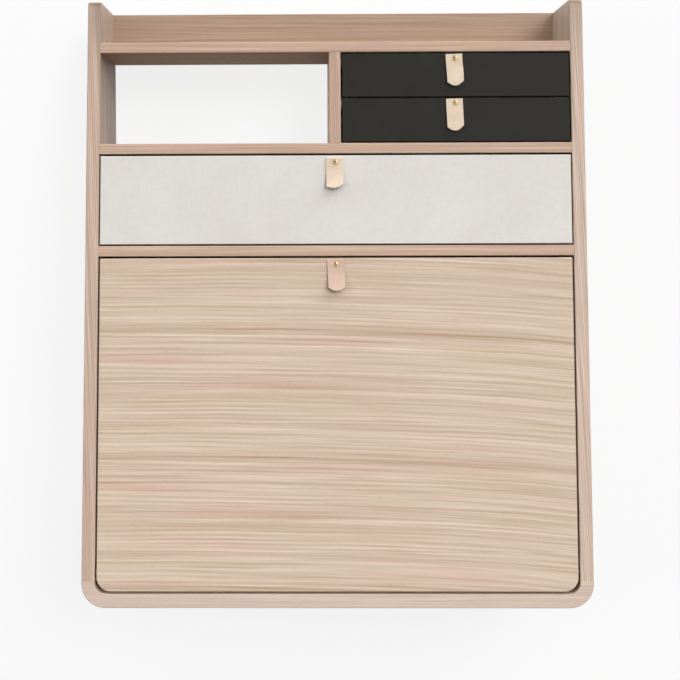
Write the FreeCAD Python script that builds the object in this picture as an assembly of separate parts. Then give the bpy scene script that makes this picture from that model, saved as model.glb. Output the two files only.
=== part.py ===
"""Fold down wall desk in oak: a shallow cabinet whose front leans back, with a
drop flap, one wide drawer, two small drawers, an open niche and a tray on top.

Frame: millimetres, X across, -Y towards the user, +Z up, the wall at y = 0.
The sub-parts are drawn with z = 0 at the underside of the cabinet. They are
written with the origin at the middle of the four wall screws, on the wall.
"""
import FreeCAD
import Part
import math
import os

V = FreeCAD.Vector
ACROSS = V(1, 0, 0)
DEEP = V(0, 1, 0)
HERE = V(0, 0, 0)
TOUCH = 0.001               # closer than this counts as lying on a plane

# ---------------------------------------------------------------- cabinet
width = 600.0
height = 720.0
depth_bottom = 211.0        # from the wall to the front, at the underside
depth_top = 119.0           # the same at the top: the front leans back
side_board = 15.5
bottom_board = 15.5
shelf_board = 12.5
divider_board = 14.0
upstand_board = 12.0
upstand_height = 51.0       # tray rim above the top shelf
bay_height = 110.6          # clear height of each of the two upper bays
corner_radius = 28.0        # outside of the turned-up bottom corners
inner_corner_radius = 15.0
top_corner_radius = 9.0     # front top corner of the sides
edge_ease = 0.7             # arris taken off every visible front edge

# ---------------------------------------------------------------- back
back_panel_board = 5.0
groove_depth = 5.0
groove_play = 0.1
rail_board = 16.0
upper_rail_height = 60.0
lower_rail_height = 54.0
fixing_spacing = 460.0      # wall screws, across
fixing_hole = 6.0

# ---------------------------------------------------------------- joinery
housing_depth = 5.0         # shelf ends let into the sides
divider_housing_depth = 4.0
housing_stop = 18.0         # housings stop this far behind the front
housing_play = 0.1
tongue_thick = 4.0          # loose tongues between the sides and the bottom board
tongue_height = 14.0
tongue_inset = 25.0

# ---------------------------------------------------------------- inner shelf
inner_shelf_height = 222.0  # top face, above the underside of the cabinet
inner_shelf_setback = 14.0  # behind the flap
shelf_play = 0.5
pin_diameter = 5.0
pin_length = 16.0
pin_in_side = 8.0
pin_inset = 26.0

# ---------------------------------------------------------------- flap
flap_board = 16.0
flap_gap_side = 2.0
flap_gap_top = 2.2
flap_gap_bottom = 3.3
flap_corner_extra = 1.5     # its lower corners are rounder than the opening's
flap_top_corner_radius = 2.0
flap_ease = 0.8
flap_heel_bevel = 3.0       # lets the lower inner edge swing past
pivot_behind = 7.0          # pivot behind the face of the flap
pivot_pin = 6.0
pivot_plate_length = 34.0
pivot_plate_width = 11.0
pivot_plate_thick = 2.0
bush_diameter = 10.0
bush_depth = 11.0
bush_flange = 14.0
bush_flange_thick = 0.8
pin_end_gap = 1.0           # pivot pin short of the bottom of its seat
running_play = 0.05         # radial, pin in bush and rivet in stay

# ---------------------------------------------------------------- stays
stay_lead = 13.0            # angle between rivet and stud with the flap shut
stay_tail_room = 5.0        # from the tip of a closed stay to the back panel
stay_tip = 2.0              # centre of the round tip beyond the stud's last place
stay_standoff = 12.0        # rivet above the inner face of the flap
stay_width = 15.0
stay_thick = 2.5
stay_stud = 6.0
slot_play = 0.3
stay_gap = 0.3              # beside the stay
stay_collar = 1.7
stay_head = 10.0
stay_head_thick = 1.5
stay_plate_thick = 2.0
stay_plate_width = 20.0
stay_plate_length = 40.0
bracket_thick = 2.5
bracket_foot = 26.0
bracket_width = 22.0
plate_chamfer = 4.0

# ---------------------------------------------------------------- catches
catch_spread = 380.0
catch_width = 46.0
catch_height = 16.0
catch_depth = 16.0
catch_gap = 0.5
catch_chamfer = 3.0
strike_thick = 1.5
strike_height = 14.0
strike_below_top = 3.0

# ---------------------------------------------------------------- drawers
wide_front_board = 16.0
small_front_board = 13.0
front_gap_side = 1.8
front_gap_below = 1.9
front_gap_above = 2.4
small_gap_below = 1.4
small_gap_above = 2.1
small_gap_between = 1.5
box_play = 2.0              # between a drawer box and the board beside it
wide_box_board = 10.0
small_box_board = 8.0
box_bottom_board = 4.0
box_bottom_rise = 6.0
box_groove = 4.0
wide_box_drop = 18.0        # box rim below the top of the front
small_box_drop = 8.0
box_lift = 5.0              # box above the lower edge of the front
box_rear_gap = 6.0
runner_height = 10.0
runner_bite = 4.0           # how far a runner reaches into its groove
runner_play = 0.5
runner_front_gap = 8.0
runner_rear_gap = 1.0

# ---------------------------------------------------------------- leather pulls
pull_width = 20.0
pull_length = 39.5
pull_thick = 2.6
pull_flat = 12.0            # length screwed flat to the front
pull_cut_width = 7.0
pull_cut_height = 4.0
pull_arc_rise = 1.2
pull_top_radius = 1.5

# ---------------------------------------------------------------- worked out
slope = (depth_bottom - depth_top) / height
lean = math.atan(slope)
lean_degrees = math.degrees(lean)
inner_half = width / 2 - side_board
top_shelf_top = height - upstand_height
top_shelf_bottom = top_shelf_top - shelf_board
middle_shelf_top = top_shelf_bottom - bay_height
middle_shelf_bottom = middle_shelf_top - shelf_board
lower_shelf_top = middle_shelf_bottom - bay_height
lower_shelf_bottom = lower_shelf_top - shelf_board
side_foot = bottom_board + inner_corner_radius   # where a side meets the bottom
back_face = -(rail_board + back_panel_board)     # inner face of the back panel
lower_fixing = bottom_board + lower_rail_height / 2
upper_fixing = middle_shelf_bottom - upper_rail_height / 2
origin_height = (lower_fixing + upper_fixing) / 2
flap_corner_radius = inner_corner_radius + flap_corner_extra
pivot_rise = flap_corner_radius + pivot_plate_width / 2   # up the flap's straight edge
flap_half = inner_half - flap_gap_side
flap_low = bottom_board + flap_gap_bottom
flap_high = lower_shelf_bottom - flap_gap_top
flap_length = (flap_high - flap_low) / math.cos(lean)
flap_opening = 90.0 + lean_degrees
divider_face = divider_board / 2
too_deep = depth_bottom + 50.0                   # past any front, for cutting tools
past_face = 1.0                                  # past any face, for cutting tools
stay_plate_face = inner_half - stay_plate_thick
stay_outer = stay_plate_face - stay_collar - stay_gap
stay_inner = stay_outer - stay_thick


def front_y(z, behind=0.0):
    """y at height z of the plane that lies so far behind the leaning front."""
    return slope * z - depth_bottom + behind / math.cos(lean)


def block(x0, x1, y0, y1, z0, z1):
    return Part.makeBox(x1 - x0, y1 - y0, z1 - z0, V(x0, y0, z0))


def rod(diameter, start, length, axis):
    return Part.makeCylinder(diameter / 2, length, start, axis)


def side_profile(points, x0, x1):
    """A closed outline of (y, z) points, drawn out from x0 to x1."""
    corners = [V(x0, y, z) for y, z in points]
    wire = Part.makePolygon(corners + corners[:1])
    return Part.Face(wire).extrude(V(x1 - x0, 0, 0))


def leaning_board(x0, x1, z0, z1, behind0, behind1):
    """A board between two planes parallel to the front, with level edges."""
    outline = [
        (front_y(z0, behind0), z0),
        (front_y(z0, behind1), z0),
        (front_y(z1, behind1), z1),
        (front_y(z1, behind0), z1),
    ]
    return side_profile(outline, x0, x1)


def level_board(x0, x1, z0, z1, behind, back):
    """A shelf whose front edge leans with the cabinet and whose back is square."""
    outline = [
        (front_y(z0, behind), z0),
        (back, z0),
        (back, z1),
        (front_y(z1, behind), z1),
    ]
    return side_profile(outline, x0, x1)


def outline_edges(points_and_arcs):
    """Edges from a list of corner points, where a three-point tuple is an arc."""
    edges = []
    for piece in points_and_arcs:
        if len(piece) == 2:
            edges.append(Part.LineSegment(piece[0], piece[1]).toShape())
        else:
            edges.append(Part.Arc(piece[0], piece[1], piece[2]).toShape())
    return edges


def arc_point(cx, cz, radius, degrees, y=0.0):
    angle = math.radians(degrees)
    return V(cx + radius * math.cos(angle), y, cz + radius * math.sin(angle))


def distance_to_front(point):
    return (point.y - front_y(point.z)) * math.cos(lean)


def lies_on_front(edge):
    return all(abs(distance_to_front(v.Point)) < TOUCH for v in edge.Vertexes)


def ease_front(shape, radius=edge_ease, keep=None):
    """Take the arris off the edges on the leaning front, or those that keep picks."""
    edges = [e for e in shape.Edges if lies_on_front(e) and (keep is None or keep(e))]
    return shape.makeChamfer(radius, edges)


def mirrored(shape):
    return shape.mirror(HERE, ACROSS)


def laid_back(shape):
    """Take a shape from the flap's own upright frame to the closed flap's place.

    In that frame the face of the flap is y = 0, its thickness runs towards +y
    and z runs up the face from the lower edge.
    """
    placed = shape.copy()
    placed.rotate(HERE, ACROSS, -lean_degrees)
    placed.translate(V(0, front_y(flap_low), flap_low))
    return placed


def laid_back_point(y, z):
    """(y, z) in the cabinet of a point given in the flap's upright frame."""
    return (
        front_y(flap_low) + y * math.cos(lean) + z * math.sin(lean),
        flap_low - y * math.sin(lean) + z * math.cos(lean),
    )


# ------------------------------------------------------------- stay linkage
# The rivet on the flap and the stud on the side are equally far from the flap's
# pivot, so the line from rivet to stud turns through exactly half the flap's
# angle, and the slot between them is straight. That distance is the reach.
pivot_y, pivot_z = laid_back_point(pivot_behind, pivot_rise)
rivet_local_y = flap_board + stay_standoff
rivet_offset = rivet_local_y - pivot_behind


def chord(reach, degrees):
    """Distance between two points that far from the pivot and that angle apart."""
    return 2 * reach * math.sin(math.radians(degrees) / 2)


def rivet_direction(reach):
    """Degrees above +y from the pivot to the rivet, with the flap shut."""
    return 90.0 - lean_degrees - math.degrees(math.asin(rivet_offset / reach))


def stay_direction(reach):
    """Degrees above +y from the rivet to the stud, with the flap shut."""
    return rivet_direction(reach) - stay_lead / 2 - 90.0


def tip_y(reach):
    """How far back the tip of a closed stay comes."""
    rivet = pivot_y + reach * math.cos(math.radians(rivet_direction(reach)))
    length = chord(reach, stay_lead + flap_opening) + stay_tip
    return rivet + length * math.cos(math.radians(stay_direction(reach))) + stay_width / 2


def fitted_reach():
    """The reach at which a closed stay leaves its room in front of the back panel."""
    low = rivet_offset
    high = height
    while high - low > 1e-6:
        middle = (low + high) / 2
        if tip_y(middle) < back_face - stay_tail_room:
            low = middle
        else:
            high = middle
    return low


stay_reach = fitted_reach()
rivet_local_z = pivot_rise + math.sqrt(stay_reach ** 2 - rivet_offset ** 2)
rivet_y, rivet_z = laid_back_point(rivet_local_y, rivet_local_z)
stud_angle = math.radians(rivet_direction(stay_reach) - stay_lead)
stud_y = pivot_y + stay_reach * math.cos(stud_angle)
stud_z = pivot_z + stay_reach * math.sin(stud_angle)
slot_near = chord(stay_reach, stay_lead)
slot_far = chord(stay_reach, stay_lead + flap_opening)


# ------------------------------------------------------------- joinery
def housed_shelf(z0, z1, back, play=0.0):
    """The end tongues of a shelf, drawn as one board through both sides."""
    reach = inner_half + housing_depth + play
    return level_board(-reach, reach, z0 - play, z1 + play, housing_stop - play, back)


def shelf_housings():
    """The housings of the three fixed shelves, as cutting tools."""
    return [
        housed_shelf(top_shelf_bottom, top_shelf_top, past_face, housing_play),
        housed_shelf(middle_shelf_bottom, middle_shelf_top, past_face, housing_play),
        housed_shelf(lower_shelf_bottom, lower_shelf_top, back_face, housing_play),
    ]


def housed_divider(back=0.0, play=0.0):
    """The divider's core, which reaches into the shelves above and below it."""
    half = divider_face + play
    reach = divider_housing_depth + play
    return level_board(-half, half, middle_shelf_top - reach, top_shelf_bottom + reach,
                       housing_stop - play, back)


def tongue_solids(play=0.0):
    """Loose tongues across the joints between the sides and the bottom board."""
    middle = width / 2 - side_board / 2
    half = tongue_thick / 2 + play
    rise = tongue_height / 2 + play
    right = block(middle - half, middle + half,
                  front_y(side_foot) + tongue_inset - play, -tongue_inset + play,
                  side_foot - rise, side_foot + rise)
    return [right, mirrored(right)]


# ------------------------------------------------------------- back
def panel_outline(play):
    """The back panel, which follows the bottom board's inner corners."""
    reach = inner_half + groove_depth + play
    head = middle_shelf_bottom + groove_depth + play
    radius = inner_corner_radius + groove_depth + play
    centre = inner_half - inner_corner_radius
    y = back_face - play
    right_foot = arc_point(centre, side_foot, radius, -90, y)
    right_side = arc_point(centre, side_foot, radius, 0, y)
    left_foot = arc_point(-centre, side_foot, radius, -90, y)
    left_side = arc_point(-centre, side_foot, radius, 180, y)
    corners = (V(reach, y, head), V(-reach, y, head))
    edges = outline_edges([
        (left_foot, right_foot),
        (right_foot, arc_point(centre, side_foot, radius, -45, y), right_side),
        (right_side, corners[0]),
        corners,
        (corners[1], left_side),
        (left_side, arc_point(-centre, side_foot, radius, 225, y), left_foot),
    ])
    face = Part.Face(Part.Wire(edges))
    return face.extrude(V(0, back_panel_board + 2 * play, 0))


def fixing_holes():
    holes = []
    for x in (-fixing_spacing / 2, fixing_spacing / 2):
        for z in (lower_fixing, upper_fixing):
            holes.append(rod(fixing_hole, V(x, -too_deep, z), 2 * too_deep, DEEP))
    return holes


def make_back_panel():
    return panel_outline(0.0).cut(fixing_holes())


def make_upper_rail():
    rail = block(-inner_half, inner_half, -rail_board, 0.0,
                 middle_shelf_bottom - upper_rail_height, middle_shelf_bottom)
    return rail.cut(fixing_holes())


def make_lower_rail():
    """It stands on the flat of the bottom board, between the round corners."""
    half = inner_half - inner_corner_radius
    rail = block(-half, half, -rail_board, 0.0, bottom_board, bottom_board + lower_rail_height)
    return rail.cut(fixing_holes())


# ------------------------------------------------------------- carcass boards
def make_bottom_board():
    """One board whose ends turn up in a quarter round to meet the sides."""
    outer = corner_radius
    inner = inner_corner_radius
    out_x = width / 2 - outer
    in_x = inner_half - inner
    half = width / 2
    y = -too_deep
    edges = outline_edges([
        (V(-out_x, y, 0), V(out_x, y, 0)),
        (V(out_x, y, 0), arc_point(out_x, outer, outer, -45, y), V(half, y, outer)),
        (V(half, y, outer), V(half, y, side_foot)),
        (V(half, y, side_foot), V(inner_half, y, side_foot)),
        (V(inner_half, y, side_foot), arc_point(in_x, side_foot, inner, -45, y),
         V(in_x, y, bottom_board)),
        (V(in_x, y, bottom_board), V(-in_x, y, bottom_board)),
        (V(-in_x, y, bottom_board), arc_point(-in_x, side_foot, inner, 225, y),
         V(-inner_half, y, side_foot)),
        (V(-inner_half, y, side_foot), V(-half, y, side_foot)),
        (V(-half, y, side_foot), V(-half, y, outer)),
        (V(-half, y, outer), arc_point(-out_x, outer, outer, 225, y), V(-out_x, y, 0)),
    ])
    board = Part.Face(Part.Wire(edges)).extrude(V(0, too_deep, 0))
    board = board.common(level_board(-width, width, -side_foot, 2 * side_foot, 0.0, past_face))
    board = ease_front(board, keep=lambda e: e.BoundBox.ZMin < side_foot - TOUCH)
    return board.cut([panel_outline(groove_play), *tongue_solids(housing_play)])


def make_side_right():
    """A tapered side with a rounded front top corner, grooved for the back."""
    front_low = V(inner_half, front_y(side_foot), side_foot)
    corner = V(inner_half, front_y(height), height)
    tangent = top_corner_radius * math.tan((math.pi / 2 - lean) / 2)
    along = V(0, math.sin(lean), math.cos(lean))
    arc_start = corner - along * tangent
    arc_end = corner + V(0, tangent, 0)
    centre = V(inner_half, arc_end.y, height - top_corner_radius)
    towards = corner - centre
    arc_middle = centre + towards * (top_corner_radius / towards.Length)
    back_high = V(inner_half, 0, height)
    back_low = V(inner_half, 0, side_foot)
    edges = outline_edges([
        (front_low, arc_start),
        (arc_start, arc_middle, arc_end),
        (arc_end, back_high),
        (back_high, back_low),
        (back_low, front_low),
    ])
    board = Part.Face(Part.Wire(edges)).extrude(V(side_board, 0, 0))
    eased = []
    for edge in board.Edges:
        box = edge.BoundBox
        on_outline = box.XLength < TOUCH
        at_back = box.YMax > -TOUCH and box.YLength < TOUCH
        at_foot = box.ZMax < side_foot + TOUCH
        if on_outline and not at_back and not at_foot:
            eased.append(edge)
    board = board.makeChamfer(edge_ease, eased)
    tools = [panel_outline(groove_play), bush_seat(), *shelf_pin_solids()]
    return board.cut(tools + shelf_housings() + tongue_solids(housing_play))


def runs_across(edge):
    return edge.BoundBox.XLength > 2 * edge.BoundBox.ZLength


def fixed_shelf(z0, z1, back):
    """A shelf between the sides with its ends housed in them."""
    board = level_board(-inner_half, inner_half, z0, z1, 0.0, back)
    board = ease_front(board, keep=runs_across)
    return board.fuse(housed_shelf(z0, z1, back)).removeSplitter()


def make_top_shelf():
    board = fixed_shelf(top_shelf_bottom, top_shelf_top, 0.0)
    return board.cut(housed_divider(past_face, housing_play))


def make_middle_shelf():
    board = fixed_shelf(middle_shelf_bottom, middle_shelf_top, 0.0)
    return board.cut([panel_outline(groove_play), housed_divider(past_face, housing_play)])


def make_lower_shelf():
    return fixed_shelf(lower_shelf_bottom, lower_shelf_top, back_face)


def make_divider():
    board = level_board(-divider_face, divider_face, middle_shelf_top, top_shelf_bottom, 0.0, 0.0)
    board = ease_front(board, keep=lambda e: e.BoundBox.XLength < TOUCH)
    return board.fuse(housed_divider()).removeSplitter()


def make_upstand():
    """The rim at the back of the tray, eased along its top edge."""
    board = block(-inner_half, inner_half, -upstand_board, 0.0, top_shelf_top, height)
    top_edges = []
    for edge in board.Edges:
        box = edge.BoundBox
        if box.XLength > width / 2 and box.ZMin > height - TOUCH and box.YMax < -TOUCH:
            top_edges.append(edge)
    return board.makeChamfer(edge_ease, top_edges)


def make_inner_shelf():
    half = inner_half - shelf_play
    behind = flap_board + inner_shelf_setback
    return level_board(-half, half, inner_shelf_height - shelf_board, inner_shelf_height,
                       behind, back_face)


def shelf_pin_solids():
    """Four pins under the inner shelf, half in the sides."""
    z = inner_shelf_height - shelf_board - pin_diameter / 2
    front = front_y(z, flap_board + inner_shelf_setback) + pin_inset
    start = inner_half + pin_in_side - pin_length
    shapes = []
    for y in (front, back_face - pin_inset):
        right = rod(pin_diameter, V(start, y, z), pin_length, ACROSS)
        shapes += [right, mirrored(right)]
    return shapes


# ------------------------------------------------------------- flap hardware
def pivot_hole(diameter, x0, x1):
    return rod(diameter, V(x0, pivot_y, pivot_z), x1 - x0, ACROSS)


def bush_seat():
    return pivot_hole(bush_diameter, inner_half, inner_half + bush_depth)


def make_pivot_bush():
    """A flanged bush in the side, open at both ends."""
    sleeve = pivot_hole(bush_diameter, inner_half, inner_half + bush_depth)
    flange = pivot_hole(bush_flange, inner_half - bush_flange_thick, inner_half)
    bore = pivot_hole(pivot_pin + 2 * running_play, inner_half - bush_flange_thick - past_face,
                      inner_half + bush_depth + past_face)
    return sleeve.fuse(flange).cut(bore).removeSplitter()


def pivot_plate_block(play=0.0):
    low = pivot_rise - pivot_plate_width / 2 - play
    return block(flap_half - pivot_plate_thick, flap_half,
                 pivot_behind - pivot_plate_width / 2 - play,
                 pivot_behind + pivot_plate_width / 2 + play,
                 low, low + pivot_plate_length + 2 * play)


def make_pivot_pin():
    """A pin on a plate let into the edge of the flap."""
    plate = laid_back(pivot_plate_block())
    start = flap_half - pivot_plate_thick
    pin = pivot_hole(pivot_pin, start, inner_half + bush_depth - pin_end_gap)
    return plate.fuse(pin).removeSplitter()


def flap_outline(y):
    """Nearly square at the top, rounded at the bottom."""
    low = flap_corner_radius
    high = flap_top_corner_radius
    half = flap_half
    length = flap_length
    return outline_edges([
        (V(-half + low, y, 0), V(half - low, y, 0)),
        (V(half - low, y, 0), arc_point(half - low, low, low, -45, y), V(half, y, low)),
        (V(half, y, low), V(half, y, length - high)),
        (V(half, y, length - high), arc_point(half - high, length - high, high, 45, y),
         V(half - high, y, length)),
        (V(half - high, y, length), V(-half + high, y, length)),
        (V(-half + high, y, length), arc_point(-half + high, length - high, high, 135, y),
         V(-half, y, length - high)),
        (V(-half, y, length - high), V(-half, y, low)),
        (V(-half, y, low), arc_point(-half + low, low, low, 225, y), V(-half + low, y, 0)),
    ])


def make_flap_panel():
    face = Part.Face(Part.Wire(flap_outline(0.0)))
    panel = face.extrude(V(0, flap_board, 0))
    rim = [e for e in panel.Edges if e.BoundBox.YMax < TOUCH]
    panel = panel.makeChamfer(flap_ease, rim)
    bevel = side_profile([
        (flap_board + past_face, -past_face),
        (flap_board + past_face, flap_heel_bevel + past_face),
        (flap_board - flap_heel_bevel - past_face, -past_face),
    ], -width, width)
    recess = pivot_plate_block()
    panel = panel.cut([bevel, recess, mirrored(recess)])
    return laid_back(panel)


def make_strikes():
    """Steel plates near the top of the flap, which the catches hold."""
    high = flap_length - strike_below_top
    plates = []
    for x in (-catch_spread / 2, catch_spread / 2):
        plate = block(x - catch_width / 2, x + catch_width / 2, flap_board,
                      flap_board + strike_thick, high - strike_height, high)
        plates.append(laid_back(plate))
    return plates


def make_catch():
    """A magnetic catch under the lower shelf, its face parallel to the flap."""
    x = catch_spread / 2
    z0 = lower_shelf_bottom - catch_height
    behind = flap_board + strike_thick + catch_gap
    back = front_y(lower_shelf_bottom, behind) + catch_depth
    body = level_board(x - catch_width / 2, x + catch_width / 2, z0, lower_shelf_bottom,
                       behind, back)
    lower_back = [e for e in body.Edges
                  if e.BoundBox.XLength > catch_width / 2 and e.BoundBox.YMin > back - TOUCH
                  and e.BoundBox.ZMax < z0 + TOUCH]
    return body.makeChamfer(catch_chamfer, lower_back)


# ------------------------------------------------------------- stays
def make_stay_plate():
    """A plate on the side with the shouldered stud that runs in the stay's slot."""
    plate = block(stay_plate_face, inner_half, -stay_plate_width / 2, stay_plate_width / 2,
                  -stay_plate_length / 2, stay_plate_length / 2)
    corners = [e for e in plate.Edges if e.BoundBox.XLength > stay_plate_thick / 2]
    plate = plate.makeChamfer(plate_chamfer, corners)
    plate.translate(V(0, stud_y, stud_z))
    stud_inner = stay_inner - stay_gap - stay_head_thick
    stud = rod(stay_stud, V(stud_inner, stud_y, stud_z), stay_plate_face - stud_inner, ACROSS)
    head = rod(stay_head, V(stud_inner, stud_y, stud_z), stay_head_thick, ACROSS)
    collar = rod(stay_head, V(stay_plate_face - stay_collar, stud_y, stud_z), stay_collar, ACROSS)
    return plate.fuse([stud, head, collar]).removeSplitter()


def obround(length0, length1, across, x0, x1):
    """A round-ended bar along +y, from length0 to length1 between end centres."""
    bar = block(x0, x1, length0, length1, -across / 2, across / 2)
    ends = [rod(across, V(x0, y, 0), x1 - x0, ACROSS) for y in (length0, length1)]
    return bar.fuse(ends).removeSplitter()


def make_stay_arm():
    """The slotted arm, turned down from its rivet to the stud."""
    arm = obround(0.0, slot_far + stay_tip, stay_width, stay_inner, stay_outer)
    slot = obround(slot_near - slot_play, slot_far + slot_play, stay_stud + 2 * slot_play,
                   stay_inner - past_face, stay_outer + past_face)
    eye = rod(stay_stud + 2 * running_play, V(stay_inner - past_face, 0, 0),
              stay_thick + 2 * past_face, ACROSS)
    arm = arm.cut([slot, eye])
    arm.rotate(HERE, ACROSS, stay_direction(stay_reach))
    arm.translate(V(0, rivet_y, rivet_z))
    return arm


def make_stay_bracket():
    """An angle bracket on the flap: a foot on the board and a lug for the rivet."""
    outer = stay_inner - stay_gap
    low = rivet_local_z - bracket_width / 2
    high = rivet_local_z + bracket_width / 2
    foot = block(outer - bracket_foot, outer, flap_board, flap_board + bracket_thick, low, high)
    corners = [e for e in foot.Edges
               if e.BoundBox.YLength > bracket_thick / 2 and e.BoundBox.XMax < outer - past_face]
    foot = foot.makeChamfer(plate_chamfer, corners)
    lug = block(outer - bracket_thick, outer, flap_board, rivet_local_y, low, high)
    lug_end = rod(bracket_width, V(outer - bracket_thick, rivet_local_y, rivet_local_z),
                  bracket_thick, ACROSS)
    lug_end = lug_end.common(block(outer - bracket_thick, outer, flap_board, flap_board + width,
                                   low, high))
    bracket = laid_back(foot.fuse([lug, lug_end]).removeSplitter())
    return bracket.cut(rod(stay_stud, V(outer - bracket_thick - past_face, rivet_y, rivet_z),
                           bracket_thick + 2 * past_face, ACROSS))


def make_stay_rivet():
    """The rivet that carries the stay on its bracket, headed on both sides."""
    inner = stay_inner - stay_gap - bracket_thick
    outer = stay_outer + stay_gap
    shank = rod(stay_stud, V(inner, rivet_y, rivet_z), outer - inner, ACROSS)
    heads = [
        rod(stay_head, V(inner - stay_head_thick, rivet_y, rivet_z), stay_head_thick, ACROSS),
        rod(stay_head, V(outer, rivet_y, rivet_z), stay_head_thick, ACROSS),
    ]
    return shank.fuse(heads).removeSplitter()


# ------------------------------------------------------------- leather pulls
def pull_profile(lift):
    """A strap seen from the side: flat at the top, then curving off the face."""
    drop = pull_length - pull_flat
    radius = (drop ** 2 + lift ** 2) / (2 * lift)
    sweep = math.asin(drop / radius)
    near = radius - pull_thick

    def on_arc(r, angle):
        return V(0, -radius + r * math.cos(angle), -pull_flat - r * math.sin(angle))

    edges = outline_edges([
        (V(0, 0, 0), V(0, 0, -pull_flat)),
        (V(0, 0, -pull_flat), on_arc(radius, sweep / 2), on_arc(radius, sweep)),
        (on_arc(radius, sweep), on_arc(near, sweep)),
        (on_arc(near, sweep), on_arc(near, sweep / 2), V(0, -pull_thick, -pull_flat)),
        (V(0, -pull_thick, -pull_flat), V(0, -pull_thick, 0)),
        (V(0, -pull_thick, 0), V(0, 0, 0)),
    ])
    return Part.Face(Part.Wire(edges))


def pull_shape_tool():
    """The strap's outline from the front: cut corners and a shallow arc below."""
    half = pull_width / 2
    y = -2 * pull_length
    low = -pull_length
    arc_ends = half - pull_cut_width / 2
    top = pull_top_radius
    edges = outline_edges([
        (V(-arc_ends, y, low + pull_arc_rise), V(0, y, low), V(arc_ends, y, low + pull_arc_rise)),
        (V(arc_ends, y, low + pull_arc_rise), V(half, y, low + pull_cut_height)),
        (V(half, y, low + pull_cut_height), V(half, y, -top)),
        (V(half, y, -top), arc_point(half - top, -top, top, 45, y), V(half - top, y, 0)),
        (V(half - top, y, 0), V(-half + top, y, 0)),
        (V(-half + top, y, 0), arc_point(-half + top, -top, top, 135, y), V(-half, y, -top)),
        (V(-half, y, -top), V(-half, y, low + pull_cut_height)),
        (V(-half, y, low + pull_cut_height), V(-arc_ends, y, low + pull_arc_rise)),
    ])
    return Part.Face(Part.Wire(edges)).extrude(V(0, 4 * pull_length, 0))


# Each pull: middle across, top edge above the underside, lift of the free end.
small_bay_middle = (divider_face + inner_half) / 2
small_front_height = (bay_height - small_gap_below - small_gap_above - small_gap_between) / 2
lower_drawer_low = middle_shelf_top + small_gap_below
upper_drawer_low = lower_drawer_low + small_front_height + small_gap_between
small_pull_shift = -1.8
wide_pull_shift = -1.0
small_pull_drop = 1.4
wide_pull_drop = 3.2
flap_pull_drop = 2.6
wide_front_high = middle_shelf_bottom - front_gap_above

PULLS = {
    "upper_drawer": (small_bay_middle + small_pull_shift,
                     upper_drawer_low + small_front_height - small_pull_drop, 2.0),
    "lower_drawer": (small_bay_middle + small_pull_shift,
                     lower_drawer_low + small_front_height - small_pull_drop, 1.5),
    "wide_drawer": (wide_pull_shift, wide_front_high - wide_pull_drop, 8.0),
    "flap": (0.0, flap_high - flap_pull_drop, 3.0),
}


def on_front(shape, x, z):
    """Hang a shape drawn around (0, 0, 0) on the front at height z."""
    placed = shape.copy()
    placed.rotate(HERE, ACROSS, -lean_degrees)
    placed.translate(V(x, front_y(z), z))
    return placed


def make_pull(owner):
    x, z, lift = PULLS[owner]
    strap = pull_profile(lift).extrude(V(pull_width, 0, 0))
    strap.translate(V(-pull_width / 2, 0, 0))
    strap = strap.common(pull_shape_tool())
    return on_front(strap, x, z)


# ------------------------------------------------------------- drawers
class Drawer:
    """The sizes of one drawer, from the bay it fills."""

    def __init__(self, name, x0, x1, low, high, front_board, box_board, drop, back):
        self.name = name
        self.x0 = x0
        self.x1 = x1
        self.low = low
        self.high = high
        self.front_board = front_board
        self.board = box_board
        self.box_low = low + box_lift
        self.box_high = high - drop
        self.left = x0 - front_gap_side + box_play
        self.right = x1 + front_gap_side - box_play
        self.back = back - box_rear_gap
        self.bay_back = back
        self.runner_z = (self.box_low + self.box_high) / 2

    def front(self):
        board = leaning_board(self.x0, self.x1, self.low, self.high, 0.0, self.front_board)
        return ease_front(board)

    def side(self, x0, x1, groove_x0, groove_x1):
        """A box side with its runner groove outside and the bottom's inside."""
        board = level_board(x0, x1, self.box_low, self.box_high, self.front_board, self.back)
        half_groove = runner_height / 2 + runner_play
        groove = block(groove_x0, groove_x1, -too_deep, past_face,
                       self.runner_z - half_groove, self.runner_z + half_groove)
        return board.cut([groove, self.bottom()])

    def side_left(self):
        return self.side(self.left, self.left + self.board,
                         self.left - past_face, self.left + runner_bite + runner_play)

    def side_right(self):
        return self.side(self.right - self.board, self.right,
                         self.right - runner_bite - runner_play, self.right + past_face)

    def box_back(self):
        board = block(self.left + self.board, self.right - self.board,
                      self.back - self.board, self.back, self.box_low, self.box_high)
        return board.cut(self.bottom())

    def bottom(self):
        """The bottom slides into grooves in the sides and the back."""
        z0 = self.box_low + box_bottom_rise
        return level_board(self.left + self.board - box_groove,
                           self.right - self.board + box_groove,
                           z0, z0 + box_bottom_board, self.front_board,
                           self.back - self.board + box_groove)

    def runners(self):
        """Runners on the boards beside the box, which reach into its grooves."""
        front = front_y(self.runner_z, self.front_board) + runner_front_gap
        z0 = self.runner_z - runner_height / 2
        strips = []
        for x0, x1 in ((self.left - box_play, self.left + runner_bite),
                       (self.right - runner_bite, self.right + box_play)):
            strips.append(block(x0, x1, front, self.bay_back - runner_rear_gap,
                                z0, z0 + runner_height))
        return strips

    def nodes(self):
        name = self.name
        runner_left, runner_right = self.runners()
        return {
            name + "_front": self.front(),
            name + "_side_left": self.side_left(),
            name + "_side_right": self.side_right(),
            name + "_back": self.box_back(),
            name + "_bottom": self.bottom(),
            name + "_pull": make_pull(name),
            name + "_runner_left": runner_left,
            name + "_runner_right": runner_right,
        }


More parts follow.
